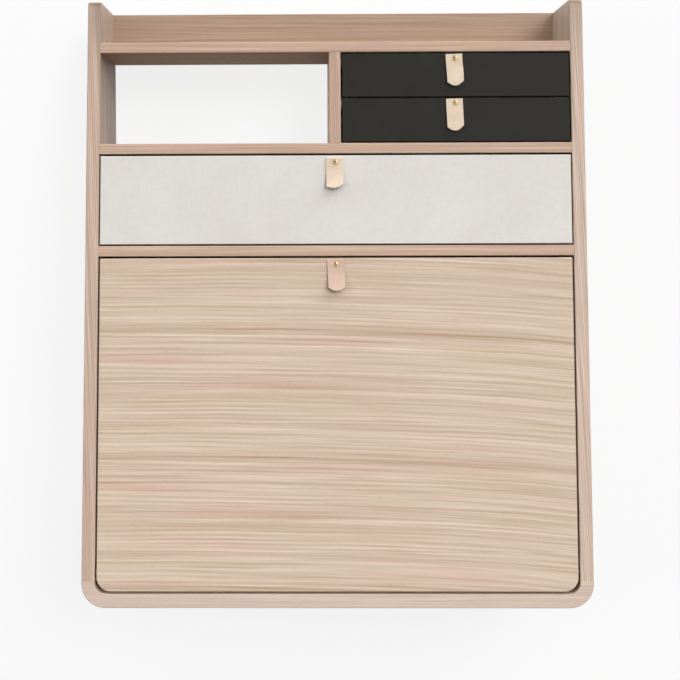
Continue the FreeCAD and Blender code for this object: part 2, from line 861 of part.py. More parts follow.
def drawers():
    small_x0 = divider_face + front_gap_side
    small_x1 = inner_half - front_gap_side
    wide_half = inner_half - front_gap_side
    return [
        Drawer("wide_drawer", -wide_half, wide_half, lower_shelf_top + front_gap_below,
               wide_front_high, wide_front_board, wide_box_board, wide_box_drop, back_face),
        Drawer("lower_drawer", small_x0, small_x1, lower_drawer_low,
               lower_drawer_low + small_front_height, small_front_board, small_box_board,
               small_box_drop, 0.0),
        Drawer("upper_drawer", small_x0, small_x1, upper_drawer_low,
               upper_drawer_low + small_front_height, small_front_board, small_box_board,
               small_box_drop, 0.0),
    ]


# ------------------------------------------------------------- the whole desk
def build():
    """Every sub-part by node name. A list is a group of separate solids."""
    side_right = make_side_right()
    bush = make_pivot_bush()
    pin = make_pivot_pin()
    stay_plate = make_stay_plate()
    stay_arm = make_stay_arm()
    bracket = make_stay_bracket()
    rivet = make_stay_rivet()
    catch = make_catch()
    nodes = {
        "side_right": side_right,
        "side_left": mirrored(side_right),
        "bottom_board": make_bottom_board(),
        "top_shelf": make_top_shelf(),
        "upstand": make_upstand(),
        "middle_shelf": make_middle_shelf(),
        "lower_shelf": make_lower_shelf(),
        "divider": make_divider(),
        "back_panel": make_back_panel(),
        "upper_hanging_rail": make_upper_rail(),
        "lower_hanging_rail": make_lower_rail(),
        "inner_shelf": make_inner_shelf(),
        "shelf_pins": shelf_pin_solids(),
        "corner_tongues": tongue_solids(),
        "pivot_bush_right": bush,
        "pivot_bush_left": mirrored(bush),
        "stay_plate_right": stay_plate,
        "stay_plate_left": mirrored(stay_plate),
        "catch_right": catch,
        "catch_left": mirrored(catch),
        "flap_panel": make_flap_panel(),
        "flap_pull": make_pull("flap"),
        "pivot_pin_right": pin,
        "pivot_pin_left": mirrored(pin),
        "stay_bracket_right": bracket,
        "stay_bracket_left": mirrored(bracket),
        "stay_rivets": [rivet, mirrored(rivet)],
        "strike_plates": make_strikes(),
        "stay_arm_right": stay_arm,
        "stay_arm_left": mirrored(stay_arm),
    }
    for drawer in drawers():
        nodes.update(drawer.nodes())
    return nodes


def write_parts(nodes):
    os.makedirs("parts", exist_ok=True)
    for name, shape in nodes.items():
        placed = Part.makeCompound(shape) if isinstance(shape, list) else shape.copy()
        placed.translate(V(0, 0, -origin_height))
        placed.exportStep("parts/" + name + ".step")


write_parts(build())
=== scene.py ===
"""Looks of a fold down wall desk: rift cut oak boards, a mottled wide drawer front, two
lacquered small ones, leather pulls on brass screws, and the screws of its fittings.

Everything is in metres in the desk's own frame: X across, -Y towards the user, +Z up,
with the wall at y = 0.
"""
import logging
import math
from collections.abc import Mapping
from dataclasses import dataclass, replace
from enum import Enum

import bmesh
import bpy
from mathutils import Matrix, Vector


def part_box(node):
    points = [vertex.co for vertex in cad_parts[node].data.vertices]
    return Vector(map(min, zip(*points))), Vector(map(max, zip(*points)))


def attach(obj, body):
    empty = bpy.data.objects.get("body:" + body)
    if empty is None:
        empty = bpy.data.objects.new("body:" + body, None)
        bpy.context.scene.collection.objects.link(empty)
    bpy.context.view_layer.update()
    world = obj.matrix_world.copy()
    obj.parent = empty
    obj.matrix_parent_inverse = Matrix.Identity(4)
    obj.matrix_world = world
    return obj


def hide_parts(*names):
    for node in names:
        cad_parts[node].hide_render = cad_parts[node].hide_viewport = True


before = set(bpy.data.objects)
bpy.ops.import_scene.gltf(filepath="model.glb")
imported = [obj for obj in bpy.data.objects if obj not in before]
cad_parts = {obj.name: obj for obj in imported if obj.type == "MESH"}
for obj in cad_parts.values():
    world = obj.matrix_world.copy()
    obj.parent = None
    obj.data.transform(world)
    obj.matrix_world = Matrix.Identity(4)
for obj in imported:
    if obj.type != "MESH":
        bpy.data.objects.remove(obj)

log = logging.getLogger("desk")
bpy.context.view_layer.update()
CAD_NODES: dict[str, bpy.types.Object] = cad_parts

Colour = tuple[float, float, float, float]
Place = tuple[float, float, float]
Socket = bpy.types.NodeSocket
Outputs = bpy.types.NodeOutputs
Tree = bpy.types.NodeTree
Material = bpy.types.Material
Shape = bmesh.types.BMesh
Number = float | Socket
Value = Number | Colour | Place | Vector

RIGHT = Vector((1.0, 0.0, 0.0))
BACK = Vector((0.0, 1.0, 0.0))
UP = Vector((0.0, 0.0, 1.0))
HANDS = {"left": -1, "right": 1}
SHARP = math.radians(40)
FACES_UP = 0.5
SAME_PLACE = 1e-6
SEED_STEP = 0.731
WHITE = (1.0, 1.0, 1.0, 1.0)
COLOUR_SOCKETS = ("Color", "Light", "Dark", "Flush", "Straw")


def srgb(red: int, green: int, blue: int) -> Colour:
    """Turn a colour as it looks on screen into the linear one that shaders take.

    Args:
        red: From 0 to 255, as are the others.
        green: The green channel.
        blue: The blue channel.

    Returns:
        The linear colour, with full alpha.
    """
    knee, slope, offset, power = 0.04045, 12.92, 0.055, 2.4

    def linear(channel: int) -> float:
        """Turn one channel."""
        share = channel / 255
        return share / slope if share <= knee else ((share + offset) / (1 + offset)) ** power

    return (linear(red), linear(green), linear(blue), 1.0)


def add_object(name: str, data: bpy.types.ID) -> bpy.types.Object:
    """Put an object in the scene.

    Args:
        name: Its name.
        data: Its mesh, lamp or camera.

    Returns:
        The object.
    """
    made = bpy.data.objects.new(name, data)
    bpy.context.scene.collection.objects.link(made)
    return made


# ---- node trees
class Graph:
    """A node tree that is written from its inputs to its output."""

    def __init__(self, tree: Tree) -> None:
        """Start on an emptied tree."""
        self.tree = tree
        tree.nodes.clear()

    def node(self, kind: str, inputs: Mapping[str | int, Value] | None = None,
             **settings: object) -> bpy.types.Node:
        """Add a node.

        Args:
            kind: The node's type name.
            inputs: What each input is set to, or the socket that it is linked to.
            settings: The node's own properties.

        Returns:
            The new node.
        """
        made = self.tree.nodes.new(kind)
        for key, value in settings.items():
            setattr(made, key, value)
        for key, value in (inputs or {}).items():
            if isinstance(value, Socket):
                self.tree.links.new(value, made.inputs[key])
            else:
                made.inputs[key].default_value = value
        return made

    def math(self, operation: str, *values: Number) -> Socket:
        """Work out one number from one, two or three others."""
        return self.node("ShaderNodeMath", dict(enumerate(values)), operation=operation).outputs[0]

    def times(self, first: Number, second: Number) -> Socket:
        """Multiply two numbers."""
        return self.math("MULTIPLY", first, second)

    def total(self, first: Number, *others: Number) -> Socket:
        """Add several numbers.

        Args:
            first: The first of them.
            others: The rest.

        Returns:
            Their sum.
        """
        for other in others:
            first = self.math("ADD", first, other)
        return first

    def swing(self, value: Socket, gain: Number) -> Socket:
        """Take how far a noise lies from its middle, times a gain."""
        return self.times(self.math("SUBTRACT", value, 0.5), gain)

    def vector(self, operation: str, *values: Value) -> Outputs:
        """Work on vectors, and give the vector and the number that come out."""
        inputs = dict(enumerate(values))
        return self.node("ShaderNodeVectorMath", inputs, operation=operation).outputs

    def point(self, x: Number, y: Number, z: Number) -> Socket:
        """Put three numbers together as a vector."""
        return self.node("ShaderNodeCombineXYZ", {0: x, 1: y, 2: z}).outputs[0]

    def split(self, vector: Socket) -> tuple[Socket, Socket, Socket]:
        """Take a vector apart."""
        parts = self.node("ShaderNodeSeparateXYZ", {0: vector}).outputs
        return parts[0], parts[1], parts[2]

    def own(self, output: str = "Object") -> Socket:
        """Give the piece's own coordinates, or another of its coordinates."""
        return self.node("ShaderNodeTexCoord").outputs[output]

    def facing(self, way: Vector) -> Socket:
        """Give how far a piece's surface faces some way, from -1 to 1."""
        return self.vector("DOT_PRODUCT", self.own("Normal"), way)["Value"]

    def noise(self, vector: Socket, scale: float = 1.0, detail: float = 2.0,
              roughness: float = 0.5) -> Socket:
        """Add a noise and give its value, which lies around a half."""
        return self.node("ShaderNodeTexNoise", {
            "Vector": vector, "Scale": scale, "Detail": detail, "Roughness": roughness,
        }).outputs[0]

    def remap(self, value: Socket, low: Number, high: Number,
              to_low: float = 0.0, to_high: float = 1.0) -> Socket:
        """Move a range of values onto another with soft ends, and clamp it there.

        Args:
            value: What is moved.
            low: Where the range starts.
            high: Where it ends.
            to_low: Where the new range starts.
            to_high: Where it ends.

        Returns:
            The moved value.
        """
        return self.node("ShaderNodeMapRange", {
            "Value": value, "From Min": low, "From Max": high,
            "To Min": to_low, "To Max": to_high,
        }, interpolation_type="SMOOTHSTEP").outputs[0]

    def bell(self, value: Socket, centre: Number, width: Number) -> Socket:
        """Give 1 at a value, falling to nothing at a width on either side."""
        away = self.math("ABSOLUTE", self.math("SUBTRACT", value, centre))
        return self.remap(self.math("DIVIDE", away, width), 1.0, 0.0)

    def mix(self, share: Number, first: Colour | Socket, second: Colour | Socket,
            blend: str = "MIX") -> Socket:
        """Mix two colours."""
        first_colour, second_colour, mixed_colour = 6, 7, 2
        return self.node("ShaderNodeMix", {
            0: share, first_colour: first, second_colour: second,
        }, data_type="RGBA", blend_type=blend, clamp_factor=True).outputs[mixed_colour]

    def group(self, tree: Tree, inputs: Mapping[str, Value]) -> Outputs:
        """Place a group and give its outputs."""
        return self.node("ShaderNodeGroup", inputs, node_tree=tree).outputs

    def finish_group(self, outputs: Mapping[str, Socket]) -> Tree:
        """Link what a group gives to its output node, and give the group."""
        self.node("NodeGroupOutput", outputs)
        return self.tree


def start_group(name: str, inputs: str, outputs: str) -> tuple[Graph, Outputs]:
    """Start a shader node group whose patterns lie on a vector.

    Args:
        name: The effect's name.
        inputs: The names of its inputs beside the vector, with spaces between.
        outputs: The names of its outputs.

    Returns:
        The group's graph, and the sockets of its input node.
    """
    kinds = {"Vector": "NodeSocketVector", **dict.fromkeys(COLOUR_SOCKETS, "NodeSocketColor")}
    tree = bpy.data.node_groups.new(name, "ShaderNodeTree")
    for end, sockets in (("INPUT", f"Vector {inputs}"), ("OUTPUT", outputs)):
        for socket in sockets.split():
            kind = kinds.get(socket, "NodeSocketFloat")
            tree.interface.new_socket(name=socket, in_out=end, socket_type=kind)
    graph = Graph(tree)
    return graph, graph.node("NodeGroupInput").outputs


class Effects:
    """The surface effects that several finishes share, each built once."""

    def __init__(self) -> None:
        """Build every group."""
        self.oak = self.oak_figure()
        self.mottle = self.woven_mottle()
        self.skin = self.pebbled_skin()
        self.plies = self.plywood_layers()
        self.flecks = self.fine_flecks()

    @staticmethod
    def oak_figure() -> Tree:
        """Growth bands, bright threads and pores of rift cut oak.

        X runs along the grain, Y across the board and Z through it, in metres. Leaves
        of veneer lie side by side and carry nearly the same figure.

        Returns:
            The group: Color, Height and Roughness.
        """
        graph, given = start_group(
            "Oak figure", "Light Dark Flush Straw Leaf Vein Bow Contrast Through Seed",
            "Color Height Roughness")
        next_leaf, bow_start, spacing, vein_width = 0.11, 0.2, 0.0056, 0.0045
        along, across, through = graph.split(given["Vector"])
        leaf = graph.math("FLOOR", graph.math("DIVIDE", across, given["Leaf"]))
        in_leaf = graph.math("SUBTRACT", across, graph.times(leaf, given["Leaf"]))
        drawn = graph.math("MULTIPLY_ADD", through, given["Through"], in_leaf)
        depth = graph.math("MULTIPLY_ADD", leaf, next_leaf, given["Seed"])

        def figure(lengthwise: float, line: Socket, crosswise: float, detail: float = 1.0,
                   roughness: float = 0.5) -> Socket:
            """Add noise that is drawn out along the grain."""
            place = graph.point(graph.times(along, lengthwise), graph.times(line, crosswise),
                                depth)
            return graph.noise(place, 1.0, detail, roughness)

        wander = figure(2.0, drawn, 1.2)
        ripple = figure(13.0, drawn, 22.0, 2.0)
        past = graph.math("MAXIMUM", graph.math("ADD", along, bow_start), 0.0)
        bowed = graph.times(given["Bow"], graph.math("POWER", past, 3.0))
        ring = graph.total(drawn, bowed, graph.swing(wander, 0.012), graph.swing(ripple, 0.0022))
        bands = figure(0.6, ring, 58.0, 3.0, 0.9)
        fine = figure(6.0, ring, 430.0, 2.0, 0.7)
        turn = graph.total(graph.times(ring, math.tau / spacing),
                           graph.swing(figure(1.0, ring, 26.0), 22.0))
        growth = graph.times(graph.math("SINE", turn),
                             graph.remap(figure(2.4, ring, 70.0), 0.35, 0.65, 0.2, 1.0))
        fading = graph.remap(figure(5.0, ring, 60.0), 0.35, 0.6)
        thread = graph.times(graph.bell(figure(0.4, ring, 60.0), 0.5, 0.03), fading)
        vein = graph.bell(ring, given["Vein"], vein_width)
        pore = graph.remap(figure(150.0, ring, 2300.0), 0.62, 0.74)
        lines = graph.total(graph.swing(bands, 0.98), graph.swing(fine, 1.5),
                            graph.times(growth, 0.12))
        shade = graph.total(graph.times(lines, given["Contrast"]), graph.times(thread, 0.2),
                            graph.times(vein, -0.2), 0.5)
        colour = graph.mix(shade, given["Dark"], given["Light"])
        patch = figure(4.0, ring, 75.0, 2.0, 0.6)
        for tint, low, high in (("Flush", 0.46, 0.76), ("Straw", 0.54, 0.24)):
            colour = graph.mix(graph.remap(patch, low, high), colour, given[tint], "MULTIPLY")
        colour = graph.mix(graph.times(pore, 0.25), colour, given["Dark"], "MULTIPLY")
        height = graph.total(graph.times(bands, 0.35), graph.times(fine, 0.3),
                             graph.times(pore, -0.8))
        rough = graph.total(0.52, graph.times(pore, 0.12), graph.swing(shade, -0.10))
        return graph.finish_group({"Color": colour, "Height": height, "Roughness": rough})

    @staticmethod
    def woven_mottle() -> Tree:
        """Soft clouds, small blots and a weave of crossing threads in the board's face.

        Returns:
            The group: Cloud and Thread, both around a half.
        """
        graph, given = start_group("Woven mottle", "Threads", "Cloud Thread")
        along, across, _ = graph.split(given["Vector"])
        broad = graph.noise(given["Vector"], 11.0, 3.0, 0.6)
        blots = graph.noise(given["Vector"], 170.0, 3.0, 0.7)
        cloud = graph.total(graph.swing(broad, 1.3), graph.swing(blots, 1.0), 0.5)
        drawn_out = graph.times(given["Threads"], 0.06)

        def threads(lengthwise: Socket, crosswise: Socket) -> Socket:
            """Add noise that is drawn out one way."""
            place = graph.point(graph.times(lengthwise, drawn_out),
                                graph.times(crosswise, given["Threads"]), 0.0)
            return graph.noise(place, 1.0, 1.0)

        woven = graph.times(graph.total(threads(along, across), threads(across, along)), 0.5)
        return graph.finish_group({"Cloud": cloud, "Thread": woven})

    @staticmethod
    def pebbled_skin() -> Tree:
        """Small cells and creases of leather.

        Returns:
            The group: Tone around a half, and Height.
        """
        graph, given = start_group("Pebbled skin", "Cells", "Tone Height")
        wobble = 0.0006
        warp = graph.node("ShaderNodeTexNoise", {"Vector": given["Vector"], "Scale": 300.0})
        moved = graph.vector("MULTIPLY_ADD", warp.outputs["Color"], (wobble,) * 3,
                             given["Vector"])
        cells = graph.node("ShaderNodeTexVoronoi", {"Vector": moved[0], "Scale": given["Cells"]},
                           feature="DISTANCE_TO_EDGE")
        crease = graph.remap(cells.outputs["Distance"], 0.0, 0.16)
        broad = graph.noise(given["Vector"], 150.0, 3.0, 0.6)
        soft = graph.noise(given["Vector"], 60.0, 2.0, 0.5)
        tone = graph.total(graph.swing(broad, 0.7), graph.swing(soft, 1.2),
                           graph.times(crease, 0.10), 0.45)
        height = graph.total(graph.times(crease, 0.6), graph.times(broad, 0.6))
        return graph.finish_group({"Tone": tone, "Height": height})

    @staticmethod
    def plywood_layers() -> Tree:
        """Veneers of plywood, stacked along Z, with their grain along X.

        Returns:
            The group: Core, which is 1 in the cross layers, and Grain around a half.
        """
        graph, given = start_group("Plywood layers", "Veneer", "Core Grain")
        through = graph.split(given["Vector"])[2]
        layer = graph.math("FLOOR", graph.math("DIVIDE", through, given["Veneer"]))
        core = graph.math("FLOORED_MODULO", layer, 2.0)
        drawn_out = graph.vector("MULTIPLY", given["Vector"], (9.0, 260.0, 260.0))[0]
        return graph.finish_group({"Core": core, "Grain": graph.noise(drawn_out, 1.0, 3.0, 0.6)})

    @staticmethod
    def fine_flecks() -> Tree:
        """Cloudiness, tiny flecks and drawn lines of painted, moulded and plated pieces.

        Returns:
            The group: Cloud around a half, Fleck from 0 to 1, and Line around a half.
        """
        graph, given = start_group("Fine flecks", "Size", "Cloud Fleck Line")
        place = graph.vector("MULTIPLY", given["Vector"],
                             graph.math("DIVIDE", 1.0, given["Size"]))[0]
        cloud = graph.noise(place, 0.03, 3.0, 0.6)
        fleck = graph.remap(graph.noise(place, 1.0, 1.0), 0.68, 0.78)
        line = graph.noise(graph.vector("MULTIPLY", place, (0.03, 1.0, 1.0))[0], 1.0, 2.0)
        return graph.finish_group({"Cloud": cloud, "Fleck": fleck, "Line": line})


# ---- the leaning front
@dataclass(frozen=True)
class LeaningFront:
    """The plane that the flap and all the drawer fronts lie in."""

    lean: float
    foot: Vector

    @classmethod
    def from_boards(cls) -> "LeaningFront":
        """Find the plane from the lower front edges of two boards."""
        low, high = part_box("wide_drawer_front")[0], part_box("upper_drawer_front")[0]
        return cls(math.atan2(high.y - low.y, high.z - low.z), low)

    @property
    def up(self) -> Vector:
        """The way up the face."""
        return Vector((0.0, math.sin(self.lean), math.cos(self.lean)))

    @property
    def out(self) -> Vector:
        """The way off the face, towards the user."""
        return RIGHT.cross(self.up)

    def behind(self, graph: Graph) -> Socket:
        """Give how deep a point of a piece lies behind the plane."""
        from_foot = graph.vector("SUBTRACT", graph.own(), self.foot)[0]
        return graph.vector("DOT_PRODUCT", from_foot, -self.out)["Value"]

    def frame_at(self, x: float, z: float) -> Matrix:
        """A frame on the face: X across, Y up the face, Z off it.

        Args:
            x: Across the desk.
            z: Height in the desk's frame.

        Returns:
            The matrix that takes that frame's points to the desk's.
        """
        y = self.foot.y + (z - self.foot.z) * math.tan(self.lean)
        turn = Matrix((RIGHT, self.up, self.out)).transposed()
        return Matrix.Translation((x, y, z)) @ turn.to_4x4()


@dataclass(frozen=True)
class Placing:
    """How a pattern lies on a piece: along its grain, across it, and from where.

    The seed says which piece of the tree the board is cut from.
    """

    along: Vector
    across: Vector
    centre: Vector = Vector()
    seed: float = 0.0

    @classmethod
    def of_board(cls, node: str, along: Vector, across: Vector) -> "Placing":
        """Centre a pattern on a board."""
        low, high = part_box(node)
        return cls(along, across, (low + high) / 2, SEED_STEP * sorted(CAD_NODES).index(node))

    def coordinates(self, graph: Graph) -> Socket:
        """Give the piece's own coordinates, centred and turned to its grain."""
        turn = Matrix((self.along, self.across, self.along.cross(self.across)))
        return graph.node("ShaderNodeMapping", {
            "Vector": graph.own(), "Rotation": Vector(turn.to_euler("XYZ")),
            "Location": -(turn @ self.centre),
        }, vector_type="POINT").outputs[0]


# ---- finishes
class Surface(Graph):
    """The graph of a material, whose shader takes a colour, a roughness and a relief."""

    def __init__(self, name: str, **values: float) -> None:
        """Start a material.

        Args:
            name: The material's name.
            values: Plain values of the shader, with underscores for spaces.
        """
        self.material = bpy.data.materials.new(name)
        self.material.use_nodes = True
        super().__init__(self.material.node_tree)
        plain = {key.replace("_", " "): value for key, value in values.items()}
        self.shader = self.node("ShaderNodeBsdfPrincipled", plain)
        self.node("ShaderNodeOutputMaterial", {"Surface": self.shader.outputs[0]})

    def finish(self, colour: Socket, roughness: Socket, height: Socket,
               depth: float) -> Material:
        """Link what changes over the surface.

        Args:
            colour: The base colour.
            roughness: The roughness.
            height: The relief, from 0 to 1.
            depth: How deep the relief is, in metres.

        Returns:
            The finished material.
        """
        bump = self.node("ShaderNodeBump", {"Height": height, "Distance": depth, "Strength": 1.0})
        linked = {"Base Color": colour, "Roughness": roughness, "Normal": bump.outputs[0]}
        for key, socket in linked.items():
            self.tree.links.new(socket, self.shader.inputs[key])
        return self.material


@dataclass(frozen=True)
class Finish:
    """What a piece is made of and coated with, as it looks."""

    effects: Effects

    def material(self, name: str, placing: Placing) -> Material:
        """Make the finish for one piece, as each kind of finish does in its own way.

        Args:
            name: The material's name.
            placing: How its pattern lies on the piece.

        Returns:
            The material.
        """
        raise NotImplementedError


@dataclass(frozen=True)
class Oak(Finish):
    """Oak under a clear matt finish, with a strip glued along its front edge if it has one."""

    front: LeaningFront
    light: Colour = srgb(237, 222, 204)
    dark: Colour = srgb(189, 159, 132)
    flush: Colour = srgb(255, 247, 247)
    straw: Colour = srgb(254, 253, 247)
    end_grain: Colour = srgb(216, 206, 196)
    # Tint of painted shade for faces that look down.
    under: Colour | None = None
    strip_light: Colour | None = None
    strip_dark: Colour | None = None
    strip_thick: float = 0.0009
    strip_end: float = 9.0
    strip_fade_for_top_shade: float = 0.19
    contrast: float = 1.0
    through: float = 1.6
    leaf: float = 9.0
    vein: float = 5.0
    bow: float = 0.0
    sawn: float = 0.7
    relief: float = 0.00006

    def strip(self, surface: Surface, along: Socket) -> Socket:
        """Give 1 on the strip, which fades out towards the board's upper end, so the front edge
        grows darker towards its top: partly the strip ending below the tip, partly painted shade.
        """
        there = surface.math("LESS_THAN", self.front.behind(surface), self.strip_thick)
        return surface.times(there, surface.remap(along, self.strip_end,
                                                  self.strip_end - self.strip_fade_for_top_shade))

    def material(self, name: str, placing: Placing) -> Material:
        """Make the finish for one board; if it has an under tint, its downward faces get painted
        shade and are left rougher, as sawn wood.

        Args:
            name: The material's name.
            placing: How the grain lies.

        Returns:
            The material.
        """
        surface = Surface(name, Specular_IOR_Level=0.32, Diffuse_Roughness=0.3)
        light, dark = self.light, self.dark
        place = placing.coordinates(surface)
        if self.strip_light and self.strip_dark:
            strip = self.strip(surface, surface.split(place)[0])
            light = surface.mix(strip, light, self.strip_light)
            dark = surface.mix(strip, dark, self.strip_dark)
        oak = surface.group(self.effects.oak, {
            "Vector": place, "Light": light, "Dark": dark, "Flush": self.flush,
            "Straw": self.straw, "Leaf": self.leaf, "Vein": self.vein, "Bow": self.bow,
            "Contrast": self.contrast, "Through": self.through, "Seed": placing.seed,
        })
        end = surface.remap(surface.math("ABSOLUTE", surface.facing(placing.along)), 0.12, 0.6)
        colour = surface.mix(end, oak["Color"], self.end_grain, "MULTIPLY")
        rough = oak["Roughness"]
        # Painted shade: downward faces are darkened and warmed by the under tint; their rougher
        # sawn finish is the wood's own.
        if self.under:
            below = surface.remap(surface.facing(-UP), 0.5, 0.9)
            colour = surface.mix(below, colour, self.under, "MULTIPLY")
            rough = surface.math("MAXIMUM", rough, surface.times(below, self.sawn))
        return surface.finish(colour, rough, oak["Height"], self.relief)


@dataclass(frozen=True)
class MottledBoard(Finish):
    """Off-white board whose face looks like fine linen."""

    pale: Colour = srgb(227, 223, 217)
    deep: Colour = srgb(215, 210, 204)
    threads: float = 700.0
    rough: float = 0.56
    relief: float = 0.00003

    def material(self, name: str, placing: Placing) -> Material:
        """Make the finish for one front.

        Args:
            name: The material's name.
            placing: How the threads lie.

        Returns:
            The material.
        """
        surface = Surface(name, Specular_IOR_Level=0.3)
        weave = surface.group(self.effects.mottle, {
            "Vector": placing.coordinates(surface), "Threads": self.threads})
        tone = surface.total(weave["Cloud"], surface.swing(weave["Thread"], 0.8))
        rough = surface.total(self.rough, surface.swing(weave["Thread"], 0.3))
        return surface.finish(surface.mix(tone, self.deep, self.pale), rough, weave["Thread"],
                              self.relief)


@dataclass(frozen=True)
class Lacquer(Finish):
    """Dark satin lacquer over fine grained board."""

    body: Colour = srgb(34, 32, 27)
    worn: Colour = srgb(47, 45, 39)
    orange_peel: float = 0.0012
    rough: tuple[float, float] = (0.46, 0.56)
    relief: float = 0.00002

    def material(self, name: str, placing: Placing) -> Material:
        """Make the finish for one front.

        Args:
            name: The material's name.
            placing: How the spraying lies.

        Returns:
            The material.
        """
        surface = Surface(name, Specular_IOR_Level=0.12)
        marks = surface.group(self.effects.flecks, {
            "Vector": placing.coordinates(surface), "Size": self.orange_peel})
        tone = surface.total(surface.remap(marks["Cloud"], 0.3, 0.75, 0.0, 0.5),
                             surface.times(marks["Fleck"], 0.5))
        rough = surface.remap(marks["Cloud"], 0.3, 0.7, *self.rough)
        return surface.finish(surface.mix(tone, self.body, self.worn), rough, marks["Line"],
                              self.relief)


@dataclass(frozen=True)
class Plywood(Finish):
    """Clear finished birch plywood."""

    face: Colour = srgb(231, 213, 184)
    core: Colour = srgb(206, 176, 138)
    veneer: float = 0.0014
    rough: tuple[float, float] = (0.5, 0.62)
    relief: float = 0.00003

    def material(self, name: str, placing: Placing) -> Material:
        """Make the finish for one drawer board.

        Args:
            name: The material's name.
            placing: How the veneers lie.

        Returns:
            The material.
        """
        surface = Surface(name, Specular_IOR_Level=0.3)
        layers = surface.group(self.effects.plies, {
            "Vector": placing.coordinates(surface), "Veneer": self.veneer})
        shade = surface.total(surface.times(layers["Core"], 0.7),
                              surface.swing(layers["Grain"], 1.1), 0.1)
        rough = surface.remap(layers["Grain"], 0.2, 0.8, *self.rough)
        return surface.finish(surface.mix(shade, self.face, self.core), rough, layers["Grain"],
                              self.relief)


@dataclass(frozen=True)
class Solid(Finish):
    """Beech, moulded plastic or metal: one colour with clouds, flecks and drawn lines."""

    body: Colour
    other: Colour
    size: float
    rough: tuple[float, float]
    metallic: float = 0.0
    specular: float = 0.5
    flecks: float = 0.3
    lines: float = 0.6
    relief: float = 0.00002

    def material(self, name: str, placing: Placing) -> Material:
        """Make the finish.

        Args:
            name: The material's name.
            placing: How the lines lie.

        Returns:
            The material.
        """
        surface = Surface(name, Metallic=self.metallic, Specular_IOR_Level=self.specular)
        marks = surface.group(self.effects.flecks, {
            "Vector": placing.coordinates(surface), "Size": self.size})
        tone = surface.total(surface.swing(marks["Cloud"], 1.2),
                             surface.swing(marks["Line"], self.lines),
                             surface.times(marks["Fleck"], self.flecks), 0.4)
        return surface.finish(surface.mix(tone, self.body, self.other),
                              surface.remap(tone, 0.0, 1.0, *self.rough), marks["Line"],
                              self.relief)


@dataclass(frozen=True)
class Leather:
    """Natural vegetable tanned leather, with its raw edge a second material."""

    effects: Effects
    face: Colour = srgb(235, 217, 195)
    deep: Colour = srgb(214, 189, 164)
    edge: Colour = srgb(252, 243, 230)
    fibre: Colour = srgb(240, 225, 206)
    cells: float = 1400.0
    rough: tuple[float, float] = (0.66, 0.52)
    relief: float = 0.00008

    def materials(self, name: str) -> tuple[Material, Material]:
        """Make the finishes of the smooth sides and of the raw edge.

        Args:
            name: The hide's name.

        Returns:
            The two materials.
        """
        side = Surface(f"{name} side", Specular_IOR_Level=0.3, Sheen_Weight=0.05)
        edge = Surface(f"{name} edge", Specular_IOR_Level=0.2, Sheen_Weight=0.8)
        return (self.dressed(side, self.deep, self.face, self.cells),
                self.dressed(edge, self.fibre, self.edge, self.cells * 2))

    def dressed(self, surface: Surface, low: Colour, high: Colour,
                cells: float) -> Material:
        """Give a material its cells and colours.

        Args:
            surface: The material's graph.
            low: The colour of its hollows.
            high: The colour of its heights.
            cells: How many cells a metre has.

        Returns:
            The material.
        """
        skin = surface.group(self.effects.skin, {"Vector": surface.own(), "Cells": cells})
        rough = surface.remap(skin["Tone"], 0.2, 0.8, *self.rough)
        return surface.finish(surface.mix(skin["Tone"], low, high), rough, skin["Height"],
                              self.relief)


class Slot(Enum):
    """The desk's finishes, by the names that its boards carry."""

    UPRIGHT = "oak_upright"
    LEVEL = "oak_level"
    FLAP = "oak_flap"
    VENEERED = "oak_back"
    LINEN = "linen_front"
    LACQUER = "dark_lacquer"
    PLY = "box_ply"
    BEECH = "beech"
    LEATHER = "leather"
    BRASS = "brass"
    PLASTIC = "catch_plastic"
    STEEL = "steel"


class Lay(Enum):
    """How a board lies.

    Facing, level and standing boards have their grain across the desk and lie in the
    front's plane, flat, or parallel to the wall. Upright and deep ones are parallel to
    the sides, with their grain upwards or from front to back.
    """

    FACING = "facing"
    LEVEL = "level"
    STANDING = "standing"
    UPRIGHT = "upright"
    DEEP = "deep"


